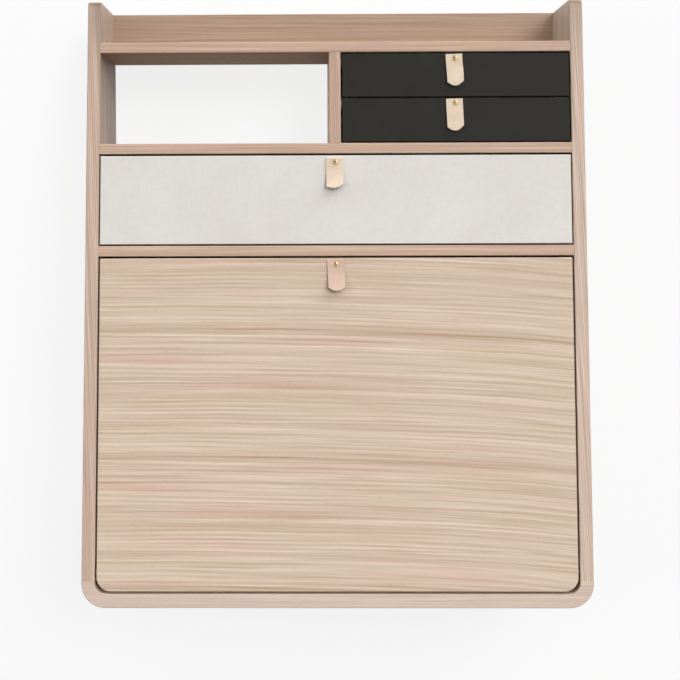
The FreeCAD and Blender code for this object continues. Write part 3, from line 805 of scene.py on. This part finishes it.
class Finishes:
    """Every finish of the desk, and the materials that its boards wear."""

    def __init__(self, front: LeaningFront) -> None:
        """Choose the finishes.

        Args:
            front: The plane of the flap and the drawer fronts.
        """
        self.front = front
        self.ways = {Lay.FACING: (RIGHT, front.up), Lay.LEVEL: (RIGHT, BACK),
                     Lay.STANDING: (RIGHT, UP), Lay.UPRIGHT: (UP, BACK), Lay.DEEP: (BACK, UP)}
        effects = Effects()
        upright = Oak(effects, front, srgb(200, 185, 169), srgb(151, 130, 112), contrast=1.3,
                      strip_light=srgb(235, 214, 198), strip_dark=srgb(178, 152, 132),
                      # Painted shade: the sides' strips fade out over their upper part, darkening
                      # the front edges there.
                      strip_end=0.405, through=-2.6)
        brass = Solid(effects, srgb(104, 86, 54), srgb(80, 66, 42), 0.0009, (0.45, 0.6), 1.0)
        polished = Solid(effects, srgb(182, 164, 126), srgb(156, 136, 98), 0.0009, (0.36, 0.5), 1.0)
        steel = Solid(effects, srgb(205, 207, 208), srgb(168, 170, 172), 0.0010, (0.26, 0.44),
                      1.0, relief=0.00001)
        self.by_slot: dict[Slot, Finish] = {
            Slot.UPRIGHT: upright,
            # Painted shade: the level boards' faces are darker than their strips, partly the wood's
            # tone and partly shade on the shelves' faces inside the desk.
            Slot.LEVEL: Oak(effects, front, srgb(209, 184, 167), srgb(164, 135, 114),
                            strip_light=srgb(226, 198, 179), strip_dark=srgb(177, 146, 122),
                            # Painted shade on the shelves' undersides.
                            under=srgb(232, 222, 198)),
            Slot.FLAP: Oak(effects, front, leaf=0.151, vein=0.1215, bow=0.16, contrast=0.78),
            Slot.VENEERED: Oak(effects, front, leaf=0.2),
            Slot.LINEN: MottledBoard(effects),
            Slot.LACQUER: Lacquer(effects),
            Slot.PLY: Plywood(effects),
            Slot.BEECH: Solid(effects, srgb(200, 168, 132), srgb(176, 140, 104), 0.0016,
                              (0.5, 0.62), specular=0.3, relief=0.00004),
            Slot.BRASS: brass,
            Slot.PLASTIC: Solid(effects, srgb(64, 46, 38), srgb(84, 63, 53), 0.0008,
                                (0.42, 0.58)),
            Slot.STEEL: steel,
        }
        # Boards whose oak differs from their slot's: the divider gets a darker, redder strip, the
        # upstand darker oak and the bottom board lighter oak.
        self.retinted_and_shaded_boards = {
            # Painted shade: the left side is a darker copy of the upright oak, as less light falls
            # on it than on the right side.
            "side_left": replace(upright, light=srgb(197, 180, 164), dark=srgb(148, 126, 108),
                                 strip_light=srgb(227, 204, 187),
                                 strip_dark=srgb(172, 143, 123)),
            "divider": replace(upright, strip_light=srgb(225, 195, 176),
                               strip_dark=srgb(168, 137, 117)),
            "upstand": Oak(effects, front, srgb(191, 168, 148), srgb(152, 126, 105),
                           contrast=0.85),
            "bottom_board": Oak(effects, front, srgb(233, 217, 204), srgb(191, 166, 147),
                                contrast=0.8),
        }
        brushed = Placing(RIGHT, BACK)
        self.polished_brass = polished.material("polished brass", brushed)
        # Painted shade: this darker brass lines the hollows of the screw slots.
        self.slot_shade_brass = brass.material("slot shade brass", brushed)
        self.steel = steel.material("screw steel", brushed)
        self.hides = {
            "pale": Leather(effects).materials("pale leather"),
            "rosy": Leather(effects, srgb(222, 193, 174), srgb(203, 170, 152),
                            srgb(232, 208, 190), srgb(216, 190, 170)).materials("rosy leather"),
        }

    def dress(self, lay: Lay, *nodes: str) -> None:
        """Give CAD pieces the finishes that they are marked with.

        Args:
            lay: How they lie.
            nodes: Their names.
        """
        for node in nodes:
            mesh = CAD_NODES[node].data
            slot = Slot(mesh.materials[0].name)
            stock = self.retinted_and_shaded_boards.get(node, self.by_slot[slot])
            mesh.materials[0] = stock.material(f"{slot.value} {node}",
                                               Placing.of_board(node, *self.ways[lay]))


# ---- new pieces
def new_piece(bm: Shape, name: str, body: str, slot: Slot,
              *materials: Material) -> bpy.types.Object:
    """Turn a shape into a piece of the desk.

    Args:
        bm: The shape in the desk's frame, which is freed.
        name: The piece's name.
        body: The body that it rides on.
        slot: Not used.
        materials: Its materials, in order.

    Returns:
        The piece, with its place in its mesh.
    """
    for face in bm.faces:
        face.smooth = True
    mesh = bpy.data.meshes.new(name)
    bm.to_mesh(mesh)
    bm.free()
    mesh.set_sharp_from_angle(angle=SHARP)
    for material in materials:
        mesh.materials.append(material)
    piece = add_object(name, mesh)
    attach(piece, body)
    return piece


def close(bm: Shape) -> None:
    """Fill what is open, merge doubles and turn the faces outwards.

    Args:
        bm: The shape.
    """
    bmesh.ops.remove_doubles(bm, verts=bm.verts, dist=SAME_PLACE)
    rim = [edge for edge in bm.edges if edge.is_boundary]
    if rim:
        bmesh.ops.edgeloop_fill(bm, edges=rim)
    bmesh.ops.recalc_face_normals(bm, faces=bm.faces)


def sink(bm: Shape, faces: list[bmesh.types.BMFace], depth: float) -> None:
    """Press faces straight down into a shape and give the hollow the second material.

    Args:
        bm: The shape, whose Z points out of its head.
        faces: What goes down.
        depth: How far.
    """
    copied = bmesh.ops.extrude_face_region(bm, geom=faces)["geom"]
    floor = {part for part in copied if isinstance(part, bmesh.types.BMVert)}
    bmesh.ops.translate(bm, vec=(0.0, 0.0, -depth), verts=list(floor))
    bmesh.ops.delete(bm, geom=faces, context="FACES_ONLY")
    for face in bm.faces:
        if floor.intersection(face.verts):
            face.material_index = 1


def two_seats(middle: Vector, apart: Vector, facing: Vector, turn: float,
              step: float) -> list[Matrix]:
    """Place two screws on a surface, half a distance either side of a point.

    Args:
        middle: The point.
        apart: From the first screw to the second.
        facing: The way that their heads face.
        turn: How far the first one's recess is turned, in degrees.
        step: How much further the second one's is.

    Returns:
        For each screw, the matrix from its frame, whose Z points out of its head.
    """
    upright = facing.to_track_quat("Z", "Y").to_matrix().to_4x4()
    return [Matrix.Translation(middle + apart * (number - 0.5)) @ upright
            @ Matrix.Rotation(math.radians(turn + step * number), 4, "Z") for number in (0, 1)]


@dataclass(frozen=True)
class DomedScrew:
    """A brass screw with a low domed head and one short slot."""

    head_radius: float = 0.0037
    rise: float = 0.0010
    rim: float = 0.0004
    slot_width: float = 0.0016
    slot_depth: float = 0.0010
    slot_reach: float = 0.42
    turns: int = 40
    rings: int = 7

    def shape(self) -> Shape:
        """Model the head around Z, with its underside at 0.

        Returns:
            The shape.
        """
        bm = bmesh.new()
        ball = (self.head_radius ** 2 + self.rise ** 2) / (2 * self.rise)
        spread = math.asin(self.head_radius / ball)
        line = [bm.verts.new((self.head_radius, 0.0, 0.0))]
        for ring in range(self.rings + 1):
            angle = spread * (1 - ring / self.rings)
            line.append(bm.verts.new((ball * math.sin(angle), 0.0,
                                      self.rim + self.rise - ball * (1 - math.cos(angle)))))
        edges = [bm.edges.new(pair) for pair in zip(line, line[1:])]
        bmesh.ops.spin(bm, geom=line + edges, axis=UP, cent=(0.0, 0.0, 0.0), angle=math.tau,
                       steps=self.turns, use_merge=True, use_duplicate=False)
        half_width, half_length = self.slot_width / 2, self.slot_reach * self.head_radius
        for way, half in ((RIGHT, half_width), (BACK, half_length)):
            for side in (-1, 1):
                bmesh.ops.bisect_plane(bm, geom=bm.verts[:] + bm.edges[:] + bm.faces[:],
                                       plane_co=way * side * half, plane_no=way)
        close(bm)
        slot = [face for face in bm.faces if face.normal.z > FACES_UP
                and abs(face.calc_center_median().x) < half_width
                and abs(face.calc_center_median().y) < half_length]
        sink(bm, slot, self.slot_depth)
        return bm


@dataclass(frozen=True)
class CrossScrew:
    """A flat steel screw head with a cross recess."""

    head_radius: float = 0.0034
    height: float = 0.0005
    recess_share: float = 0.8
    cells: int = 7

    def shape(self) -> Shape:
        """Model the head around Z, with its underside at 0.

        Returns:
            The shape.
        """
        bm = bmesh.new()
        bmesh.ops.create_grid(bm, x_segments=self.cells, y_segments=self.cells, size=1.0)
        for vert in bm.verts:
            x, y = vert.co.xy
            vert.co.xy = x * math.sqrt(1 - y * y / 2), y * math.sqrt(1 - x * x / 2)
        bmesh.ops.scale(bm, vec=(self.head_radius, self.head_radius, 1.0), verts=bm.verts)
        bmesh.ops.translate(bm, vec=(0.0, 0.0, self.height), verts=bm.verts)
        rim = bmesh.ops.extrude_edge_only(bm, edges=[e for e in bm.edges if e.is_boundary])["geom"]
        bmesh.ops.translate(bm, vec=(0.0, 0.0, -self.height),
                            verts=[part for part in rim if isinstance(part, bmesh.types.BMVert)])
        close(bm)
        arm = self.head_radius / self.cells
        cross = [face for face in bm.faces if face.normal.z > FACES_UP
                 and min(abs(part) for part in face.calc_center_median().xy) < arm
                 and face.calc_center_median().xy.length < self.head_radius - 2 * arm]
        sink(bm, cross, self.height * self.recess_share)
        return bm

    def drive(self, name: str, body: str, finishes: Finishes, seats: list[Matrix]) -> None:
        """Model one piece with a head at each seat.

        Args:
            name: The piece's name.
            body: The body that the screws ride on.
            finishes: The desk's finishes.
            seats: For each screw, the frame whose Z points out of its head.
        """
        bm = bmesh.new()
        for seat in seats:
            head = self.shape()
            bmesh.ops.transform(head, matrix=seat, verts=head.verts)
            spare = bpy.data.meshes.new(name)
            head.to_mesh(spare)
            head.free()
            bm.from_mesh(spare)
            bpy.data.meshes.remove(spare)
        new_piece(bm, name, body, Slot.STEEL, finishes.steel, finishes.steel)


@dataclass(frozen=True)
class LeatherPull:
    """A leather tab that hangs from one screw and lifts off the front below it.

    The angles are in degrees: tilt turns the tab on the front, twist turns its free end
    about its own length, and screw_turn is where the slot points.
    """

    owner: str
    lift: float
    tilt: float = 0.0
    twist: float = 0.0
    cup: float = 0.0003
    rise_left: float = 0.0038
    rise_right: float = 0.0048
    screw_turn: float = 20.0
    hide: str = "pale"
    screw_side: float = 0.0007
    fray: float = 0.0
    width: float = 0.020
    length: float = 0.0395
    thick: float = 0.0026
    flat: float = 0.012
    lift_curve: float = 1.5
    hem_curve: float = 2.0
    corner: float = 0.0016
    fray_pitch: float = 0.0058
    side_bend: float = 0.0003
    screw_drop: float = 0.0052
    dimple: float = 0.0004
    edge_round: float = 0.00105
    edge_steps: int = 3
    edge_angle: float = 50.0
    columns: int = 18
    rows: int = 48

    def hem(self, across: float) -> float:
        """How far the tab reaches down at a place across it, from its top edge.

        Args:
            across: Distance from the middle line.

        Returns:
            The distance from the top edge, shorter where the hem is curved or frayed.
        """
        coarse, fine, finer, shift = 0.7, 0.5, 2.7, 0.8
        phase = math.pi * across / self.fray_pitch
        worn = coarse * math.sin(phase) ** 2 + fine * math.sin(finer * phase + shift) ** 2
        curved = self.rise(across) * (2 * abs(across) / self.width) ** self.hem_curve
        return self.length - self.fray * worn - curved

    def rise(self, across: float) -> float:
        """How much shorter the tab is at its side than in its middle."""
        return self.rise_left if across < 0 else self.rise_right

    def narrowed(self, across: float, down: float) -> float:
        """Draw a place in where the tab's lower corners are rounded off.

        Args:
            across: Distance from the middle line.
            down: Distance from the top edge.

        Returns:
            The new distance from the middle line.
        """
        start = self.length - self.rise(across) - self.corner
        past = min(max(down - start, 0.0), self.corner)
        inset = self.corner - math.sqrt(self.corner ** 2 - past ** 2)
        return across * (1 - 2 * inset / self.width)

    def surface(self, across: float, down: float) -> Vector:
        """Shape the tab's back.

        Args:
            across: Distance from the middle line.
            down: Distance from the top edge.

        Returns:
            The point in the front's frame, from the middle of the top edge.
        """
        free = max(down - self.flat, 0.0) / (self.length - self.flat)
        lift = self.lift * free ** self.lift_curve
        turned = math.tan(math.radians(self.twist)) * across * free
        cupped = self.cup * (2 * across / self.width) ** 2 * free
        from_screw = math.hypot(across, down - self.screw_drop)
        pressed = self.dimple * math.exp(-(from_screw / DomedScrew.head_radius) ** 2)
        bent = self.narrowed(across, down) + self.side_bend * math.sin(math.pi * free)
        return Vector((bent, -down, lift + max(turned, -lift) + cupped + self.dimple - pressed))

    def build(self, finishes: Finishes) -> None:
        """Model the tab and its screw.

        Args:
            finishes: The desk's finishes.
        """
        node = f"{self.owner}_pull"
        low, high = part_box(node)
        top = high.z - self.thick * math.sin(finishes.front.lean)
        seat = finishes.front.frame_at((low.x + high.x) / 2, top)
        pivot = Matrix.Translation((0.0, -self.screw_drop, 0.0))
        tilt = pivot @ Matrix.Rotation(math.radians(self.tilt), 4, "Z") @ pivot.inverted()
        bm = bmesh.new()
        bmesh.ops.create_grid(bm, x_segments=self.columns, y_segments=self.rows, size=0.5)
        for vert in bm.verts:
            across = vert.co.x * self.width
            vert.co = self.surface(across, (0.5 - vert.co.y) * self.hem(across))
        bmesh.ops.transform(bm, matrix=seat @ tilt, verts=bm.verts)
        tab = new_piece(bm, f"{node}_leather", self.owner, Slot.LEATHER,
                        *finishes.hides[self.hide])
        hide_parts(node)
        wall = tab.modifiers.new("thickness", "SOLIDIFY")
        wall.thickness = self.thick - self.dimple
        wall.offset = 1.0
        wall.material_offset_rim = 1
        soft = tab.modifiers.new("rounded edge", "BEVEL")
        soft.width = self.edge_round
        soft.segments = self.edge_steps
        soft.angle_limit = math.radians(self.edge_angle)
        soft.material = 1
        face = self.surface(0.0, self.screw_drop).z + self.thick - self.dimple
        head = DomedScrew().shape()
        place = seat @ Matrix.Translation((self.screw_side, -self.screw_drop, face)) \
            @ Matrix.Rotation(math.radians(self.screw_turn), 4, "Z")
        bmesh.ops.transform(head, matrix=place, verts=head.verts)
        # The slot's hollow wears the darker brass as painted shade.
        new_piece(head, f"{node}_screw", self.owner, Slot.BRASS, finishes.polished_brass,
                  finishes.slot_shade_brass)


# ---- sub-assemblies
@dataclass(frozen=True)
class Carcass:
    """The cabinet that hangs on the wall, with its fittings."""

    finishes: Finishes
    catch_screw_spread: float = 0.030
    screw_turn: float = 37.0

    def build(self) -> None:
        """Dress its boards and drive the screws of its catches."""
        dress = self.finishes.dress
        dress(Lay.UPRIGHT, "side_left", "side_right", "divider")
        dress(Lay.LEVEL, "top_shelf", "middle_shelf", "lower_shelf", "inner_shelf",
              "bottom_board", "corner_tongues")
        dress(Lay.STANDING, "upstand", "back_panel", "upper_hanging_rail", "lower_hanging_rail")
        dress(Lay.LEVEL, "shelf_pins", "catch_left", "catch_right")
        dress(Lay.UPRIGHT, "stay_plate_left", "stay_plate_right",
              "pivot_bush_left", "pivot_bush_right")
        seats = []
        for hand in HANDS:
            low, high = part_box(f"catch_{hand}")
            middle = (low + high) / 2
            middle.z = low.z
            seats += two_seats(middle, RIGHT * self.catch_screw_spread, -UP,
                               self.screw_turn * len(seats), self.screw_turn)
        CrossScrew().drive("catch_screws", "carcass", self.finishes, seats)


@dataclass(frozen=True)
class Flap:
    """The panel that drops to be the desk's top, with its pins, brackets and pull."""

    finishes: Finishes
    pull: LeatherPull
    strike_width: float = 0.046
    strike_thick: float = 0.0015
    strike_screw_spread: float = 0.030
    edge_screw_rise: float = 0.006
    edge_screw_spread: float = 0.010
    strike_turn: float = 53.0
    edge_turn: float = 71.0
    flush: float = 0.0002

    def build(self) -> None:
        """Dress the panel and its fittings, and model the pull and the screws."""
        self.finishes.dress(Lay.FACING, "flap_panel", "strike_plates")
        self.finishes.dress(Lay.UPRIGHT, "pivot_pin_left", "pivot_pin_right",
                            "stay_bracket_left", "stay_bracket_right", "stay_rivets")
        self.pull.build(self.finishes)
        self.screw_strikes()
        self.screw_edge_plates()

    def screw_strikes(self) -> None:
        """Drive two flush screws into each strike plate."""
        inwards = -self.finishes.front.out
        low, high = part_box("strike_plates")
        middle = (low + high) / 2 + inwards * self.strike_thick / 2
        plate = (high.x - low.x - self.strike_width) / 2
        seats = []
        for hand in HANDS.values():
            seats += two_seats(middle + RIGHT * hand * plate, RIGHT * self.strike_screw_spread,
                               inwards, self.strike_turn * len(seats), self.strike_turn)
        CrossScrew(height=self.flush).drive("strike_screws", "flap", self.finishes, seats)

    def screw_edge_plates(self) -> None:
        """Drive two flush screws into the plate of each pivot pin."""
        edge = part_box("flap_panel")[1].x
        up = self.finishes.front.up
        seats = []
        for name, hand in HANDS.items():
            low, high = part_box(f"pivot_pin_{name}")
            middle = (low + high) / 2 + up * self.edge_screw_rise
            middle.x = hand * edge
            seats += two_seats(middle, up * self.edge_screw_spread, RIGHT * hand,
                               self.edge_turn * len(seats), self.edge_turn)
        CrossScrew(height=self.flush).drive("edge_plate_screws", "flap", self.finishes, seats)


@dataclass(frozen=True)
class Stay:
    """A slotted arm that holds the flap level, with its plate and its bracket."""

    finishes: Finishes
    hand: str
    plate_thick: float = 0.002
    plate_screw_spread: float = 0.029
    foot_below_rivet: float = 0.0095
    foot_screw_inset: float = 0.0095
    foot_screw_spread: float = 0.012
    plate_turns: tuple[float, float] = (-20.0, 80.0)
    foot_turns: tuple[float, float] = (-50.0, 120.0)

    def build(self) -> None:
        """Dress the arm, and drive the screws of its plate and its bracket."""
        self.finishes.dress(Lay.UPRIGHT, f"stay_arm_{self.hand}")
        self.screw_plate()
        self.screw_bracket()

    def screw_plate(self) -> None:
        """Drive a screw above and below the stud."""
        side = HANDS[self.hand]
        low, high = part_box(f"stay_plate_{self.hand}")
        middle = (low + high) / 2
        middle.x = side * (max(abs(low.x), abs(high.x)) - self.plate_thick)
        seats = two_seats(middle, UP * self.plate_screw_spread, RIGHT * -side, *self.plate_turns)
        CrossScrew().drive(f"stay_plate_{self.hand}_screws", "carcass", self.finishes, seats)

    def screw_bracket(self) -> None:
        """Drive two screws into the bracket's foot."""
        front = self.finishes.front
        low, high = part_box(f"stay_bracket_{self.hand}")
        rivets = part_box("stay_rivets")
        point = (rivets[0] + rivets[1]) / 2 + front.out * self.foot_below_rivet
        point.x = HANDS[self.hand] * (min(abs(low.x), abs(high.x)) + self.foot_screw_inset)
        seats = two_seats(point, front.up * self.foot_screw_spread, -front.out, *self.foot_turns)
        CrossScrew().drive(f"stay_bracket_{self.hand}_screws", "flap", self.finishes, seats)


@dataclass(frozen=True)
class Drawer:
    """A plywood box behind a front, on wooden runners."""

    finishes: Finishes
    name: str
    pull: LeatherPull

    def build(self) -> None:
        """Dress the drawer and its runners, and model its pull."""
        dress = self.finishes.dress
        dress(Lay.FACING, f"{self.name}_front")
        dress(Lay.STANDING, f"{self.name}_back")
        dress(Lay.LEVEL, f"{self.name}_bottom")
        dress(Lay.DEEP, *(f"{self.name}_{part}_{hand}" for part in ("side", "runner")
                          for hand in HANDS))
        self.pull.build(self.finishes)


# ---- studio
@dataclass(frozen=True)
class Lamp:
    """A soft lamp that is aimed at the desk."""

    name: str
    place: Place
    power: float
    width: float
    height: float

    def light(self, target: Vector) -> None:
        """Hang the lamp.

        Args:
            target: The point that it faces.
        """
        data = bpy.data.lights.new(self.name, "AREA")
        data.shape = "RECTANGLE"
        data.energy = self.power
        data.size = self.width
        data.size_y = self.height
        lamp = add_object(self.name, data)
        lamp.location = self.place
        lamp.rotation_euler = (target - Vector(self.place)).to_track_quat("-Z", "Y").to_euler()
        lamp.visible_camera = False


@dataclass(frozen=True)
class Window:
    """Soft light of a large window far away, from its compass turn and its height."""

    name: str
    turn: float
    height: float
    spread: float
    strength: float

    def light(self) -> None:
        """Let the light in."""
        data = bpy.data.lights.new(self.name, "SUN")
        data.energy = self.strength
        data.angle = math.radians(self.spread)
        tip = Matrix.Rotation(math.radians(90 - self.height), 4, "X")
        add_object(self.name, data).matrix_world = \
            Matrix.Rotation(math.radians(self.turn), 4, "Z") @ tip


@dataclass(frozen=True)
class Studio:
    """A white wall and a pale floor, windows, a soft lamp and the camera."""

    camera_place: Place = (-0.03358, -1.720, 0.18406)
    camera_dip: float = 2.5
    camera_turn: float = 0.75
    camera_roll: float = -0.18
    lens: float = 69.16
    shift_x: float = 0.07288
    shift_y: float = -0.09692
    wall_gap: float = 0.0004
    wall_half: float = 3.0
    floor_level: float = -0.97
    glow: float = 0.83
    grit: float = 60.0
    matt_dark: Colour = (0.92, 0.92, 0.92, 1.0)
    matt_light: Colour = (0.94, 0.94, 0.94, 1.0)
    ambient: float = 0.055
    from_above: float = 1.235
    target: Place = (0.0, -0.1, 0.1)
    windows: tuple[Window, ...] = (
        Window("front window", 25.0, 18.0, 28.0, 1.32),
        Window("right window", 64.0, 52.0, 35.0, 1.10),
        Window("left window", -50.0, 12.0, 28.0, 0.545),
    )
    rear_lamp: Lamp = Lamp("rear lamp", (0.0, 3.0, 0.2), 40.0, 2.0, 2.0)

    def build(self) -> None:
        """Set up the camera, the lamps and what stands around the desk."""
        self.set_camera()
        for window in self.windows:
            window.light()
        self.rear_lamp.light(Vector(self.target))
        self.set_world()
        wall = self.sheet("wall", self.plaster("wall plaster", one_sided=True))
        wall.data.transform(Matrix.Translation((0.0, self.wall_gap, 0.0))
                            @ Matrix.Rotation(math.pi / 2, 4, "X"))
        floor = self.sheet("floor", self.plaster("pale floor", one_sided=False))
        floor.data.transform(Matrix.Translation((0.0, 0.0, self.floor_level)))
        bpy.context.scene.view_settings.view_transform = "Standard"

    def set_camera(self) -> None:
        """Place the camera."""
        data = bpy.data.cameras.new("camera")
        data.lens = self.lens
        data.shift_x = self.shift_x
        data.shift_y = self.shift_y
        camera = add_object("camera", data)
        turn = Matrix.Rotation(math.radians(self.camera_turn), 4, "Z") \
            @ Matrix.Rotation(math.radians(90 - self.camera_dip), 4, "X") \
            @ Matrix.Rotation(math.radians(self.camera_roll), 4, "Z")
        camera.matrix_world = Matrix.Translation(self.camera_place) @ turn
        bpy.context.scene.camera = camera

    @staticmethod
    def seen(graph: Graph) -> Socket:
        """Find the rays that see the surroundings: from the camera, mirrors and glass.

        Args:
            graph: A material's or the world's graph.

        Returns:
            The mask, which is 1 for those rays.
        """
        rays = graph.node("ShaderNodeLightPath").outputs
        either = graph.math("MAXIMUM", rays["Is Camera Ray"], rays["Is Glossy Ray"])
        return graph.math("MAXIMUM", either, rays["Is Transmission Ray"])

    def set_world(self) -> None:
        """Make the world white where it is seen and a pale sky where it only lights."""
        world = bpy.data.worlds.new("surroundings")
        world.use_nodes = True
        graph = Graph(world.node_tree)
        above = graph.math("MAXIMUM", graph.split(graph.own("Generated"))[2], 0.0)
        shaped = graph.math("MULTIPLY_ADD", above, self.from_above, self.ambient)
        strength = graph.node("ShaderNodeMapRange", {
            "Value": self.seen(graph), "To Min": shaped, "To Max": 1.0,
        }).outputs[0]
        sky = graph.node("ShaderNodeBackground", {"Color": WHITE, "Strength": strength})
        graph.node("ShaderNodeOutputWorld", {"Surface": sky.outputs[0]})
        bpy.context.scene.world = world

    def sheet(self, name: str, material: Material) -> bpy.types.Object:
        """Lay a large flat sheet with its face up.

        Args:
            name: The sheet's name.
            material: What it wears.

        Returns:
            The sheet.
        """
        bm = bmesh.new()
        bmesh.ops.create_grid(bm, x_segments=1, y_segments=1, size=self.wall_half)
        mesh = bpy.data.meshes.new(name)
        bm.to_mesh(mesh)
        bm.free()
        mesh.materials.append(material)
        return add_object(name, mesh)

    def plaster(self, name: str, one_sided: bool) -> Material:
        """Make a white matt surface that shows shadows.

        It is clear to the light that falls on the desk, apart from the wall behind the
        open bay, which closes that bay off. Behind the desk's other boards it is white.

        Args:
            name: The material's name.
            one_sided: Whether it is seen from its front only.

        Returns:
            The material.
        """
        material = bpy.data.materials.new(name)
        material.use_nodes = True
        graph = Graph(material.node_tree)
        own = graph.own()
        seen = self.seen(graph)
        tone = graph.remap(graph.noise(own, self.grit, 4.0, 0.6), 0.2, 0.8)
        colour = graph.mix(tone, self.matt_dark, self.matt_light)
        matt = graph.node("ShaderNodeBsdfDiffuse", {"Color": colour}).outputs[0]
        white = graph.node("ShaderNodeEmission", {"Color": WHITE}).outputs[0]
        bright, there = graph.times(seen, self.glow), seen
        if one_sided:
            bay = self.behind_boards(graph, own, "divider", "middle_shelf", 1)
            shut_in = self.behind_boards(graph, own, "side_right", "flap_panel", 0)
            boarded = graph.math("SUBTRACT", shut_in, bay)
            bright = graph.times(bright, graph.math("SUBTRACT", 1.0, boarded))
            back = graph.node("ShaderNodeNewGeometry").outputs["Backfacing"]
            there = graph.times(graph.math("MAXIMUM", seen, bay),
                                graph.math("SUBTRACT", 1.0, back))
        face = graph.node("ShaderNodeMixShader", {0: bright, 1: matt, 2: white}).outputs[0]
        gone = graph.node("ShaderNodeBsdfTransparent").outputs[0]
        shown = graph.node("ShaderNodeMixShader", {0: there, 1: gone, 2: face}).outputs[0]
        graph.node("ShaderNodeOutputMaterial", {"Surface": shown})
        return material

    @staticmethod
    def behind_boards(graph: Graph, place: Socket, last: str, lowest: str, edge: int) -> Socket:
        """Give 1 in the rectangle of wall from the left side to a board, under the top shelf.

        Args:
            graph: The material's graph.
            place: A point on the wall.
            last: The board that the rectangle ends at.
            lowest: The board that it starts above.
            edge: Which edge of that one: 0 for its lower, 1 for its upper.

        Returns:
            The mask.
        """
        across, _, up = graph.split(place)
        spans = ((across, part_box("side_left")[1].x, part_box(last)[0].x),
                 (up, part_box(lowest)[edge].z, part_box("top_shelf")[0].z))
        return graph.times(*(graph.math("COMPARE", value, (start + end) / 2, (end - start) / 2)
                             for value, start, end in spans))


def main() -> None:
    """Build the desk's looks, piece by piece."""
    logging.basicConfig(level=logging.INFO, format="%(name)s: %(message)s")
    finishes = Finishes(LeaningFront.from_boards())
    pulls = {
        "flap": LeatherPull("flap", 0.007, tilt=2.4, length=0.0382, rise_left=0.0033,
                            rise_right=0.0031, screw_turn=55.0, screw_side=0.0, hide="rosy"),
        "wide": LeatherPull("wide_drawer", 0.0065, tilt=0.8, twist=3.0, rise_left=0.0014,
                            rise_right=0.0042, length=0.0388, fray=0.0011, screw_turn=130.0),
        "lower": LeatherPull("lower_drawer", 0.002, tilt=1.4, rise_left=0.0034,
                             rise_right=0.0052, screw_turn=80.0),
        "upper": LeatherPull("upper_drawer", 0.002, tilt=2.8, screw_turn=10.0),
    }
    pieces = {
        "carcass": Carcass(finishes),
        "flap": Flap(finishes, pulls["flap"]),
        "left stay": Stay(finishes, "left"),
        "right stay": Stay(finishes, "right"),
        "wide drawer": Drawer(finishes, "wide_drawer", pulls["wide"]),
        "lower drawer": Drawer(finishes, "lower_drawer", pulls["lower"]),
        "upper drawer": Drawer(finishes, "upper_drawer", pulls["upper"]),
        "studio": Studio(),
    }
    for name, piece in pieces.items():
        piece.build()
        log.info("%s is done", name)


if __name__ == "__main__":
    main()
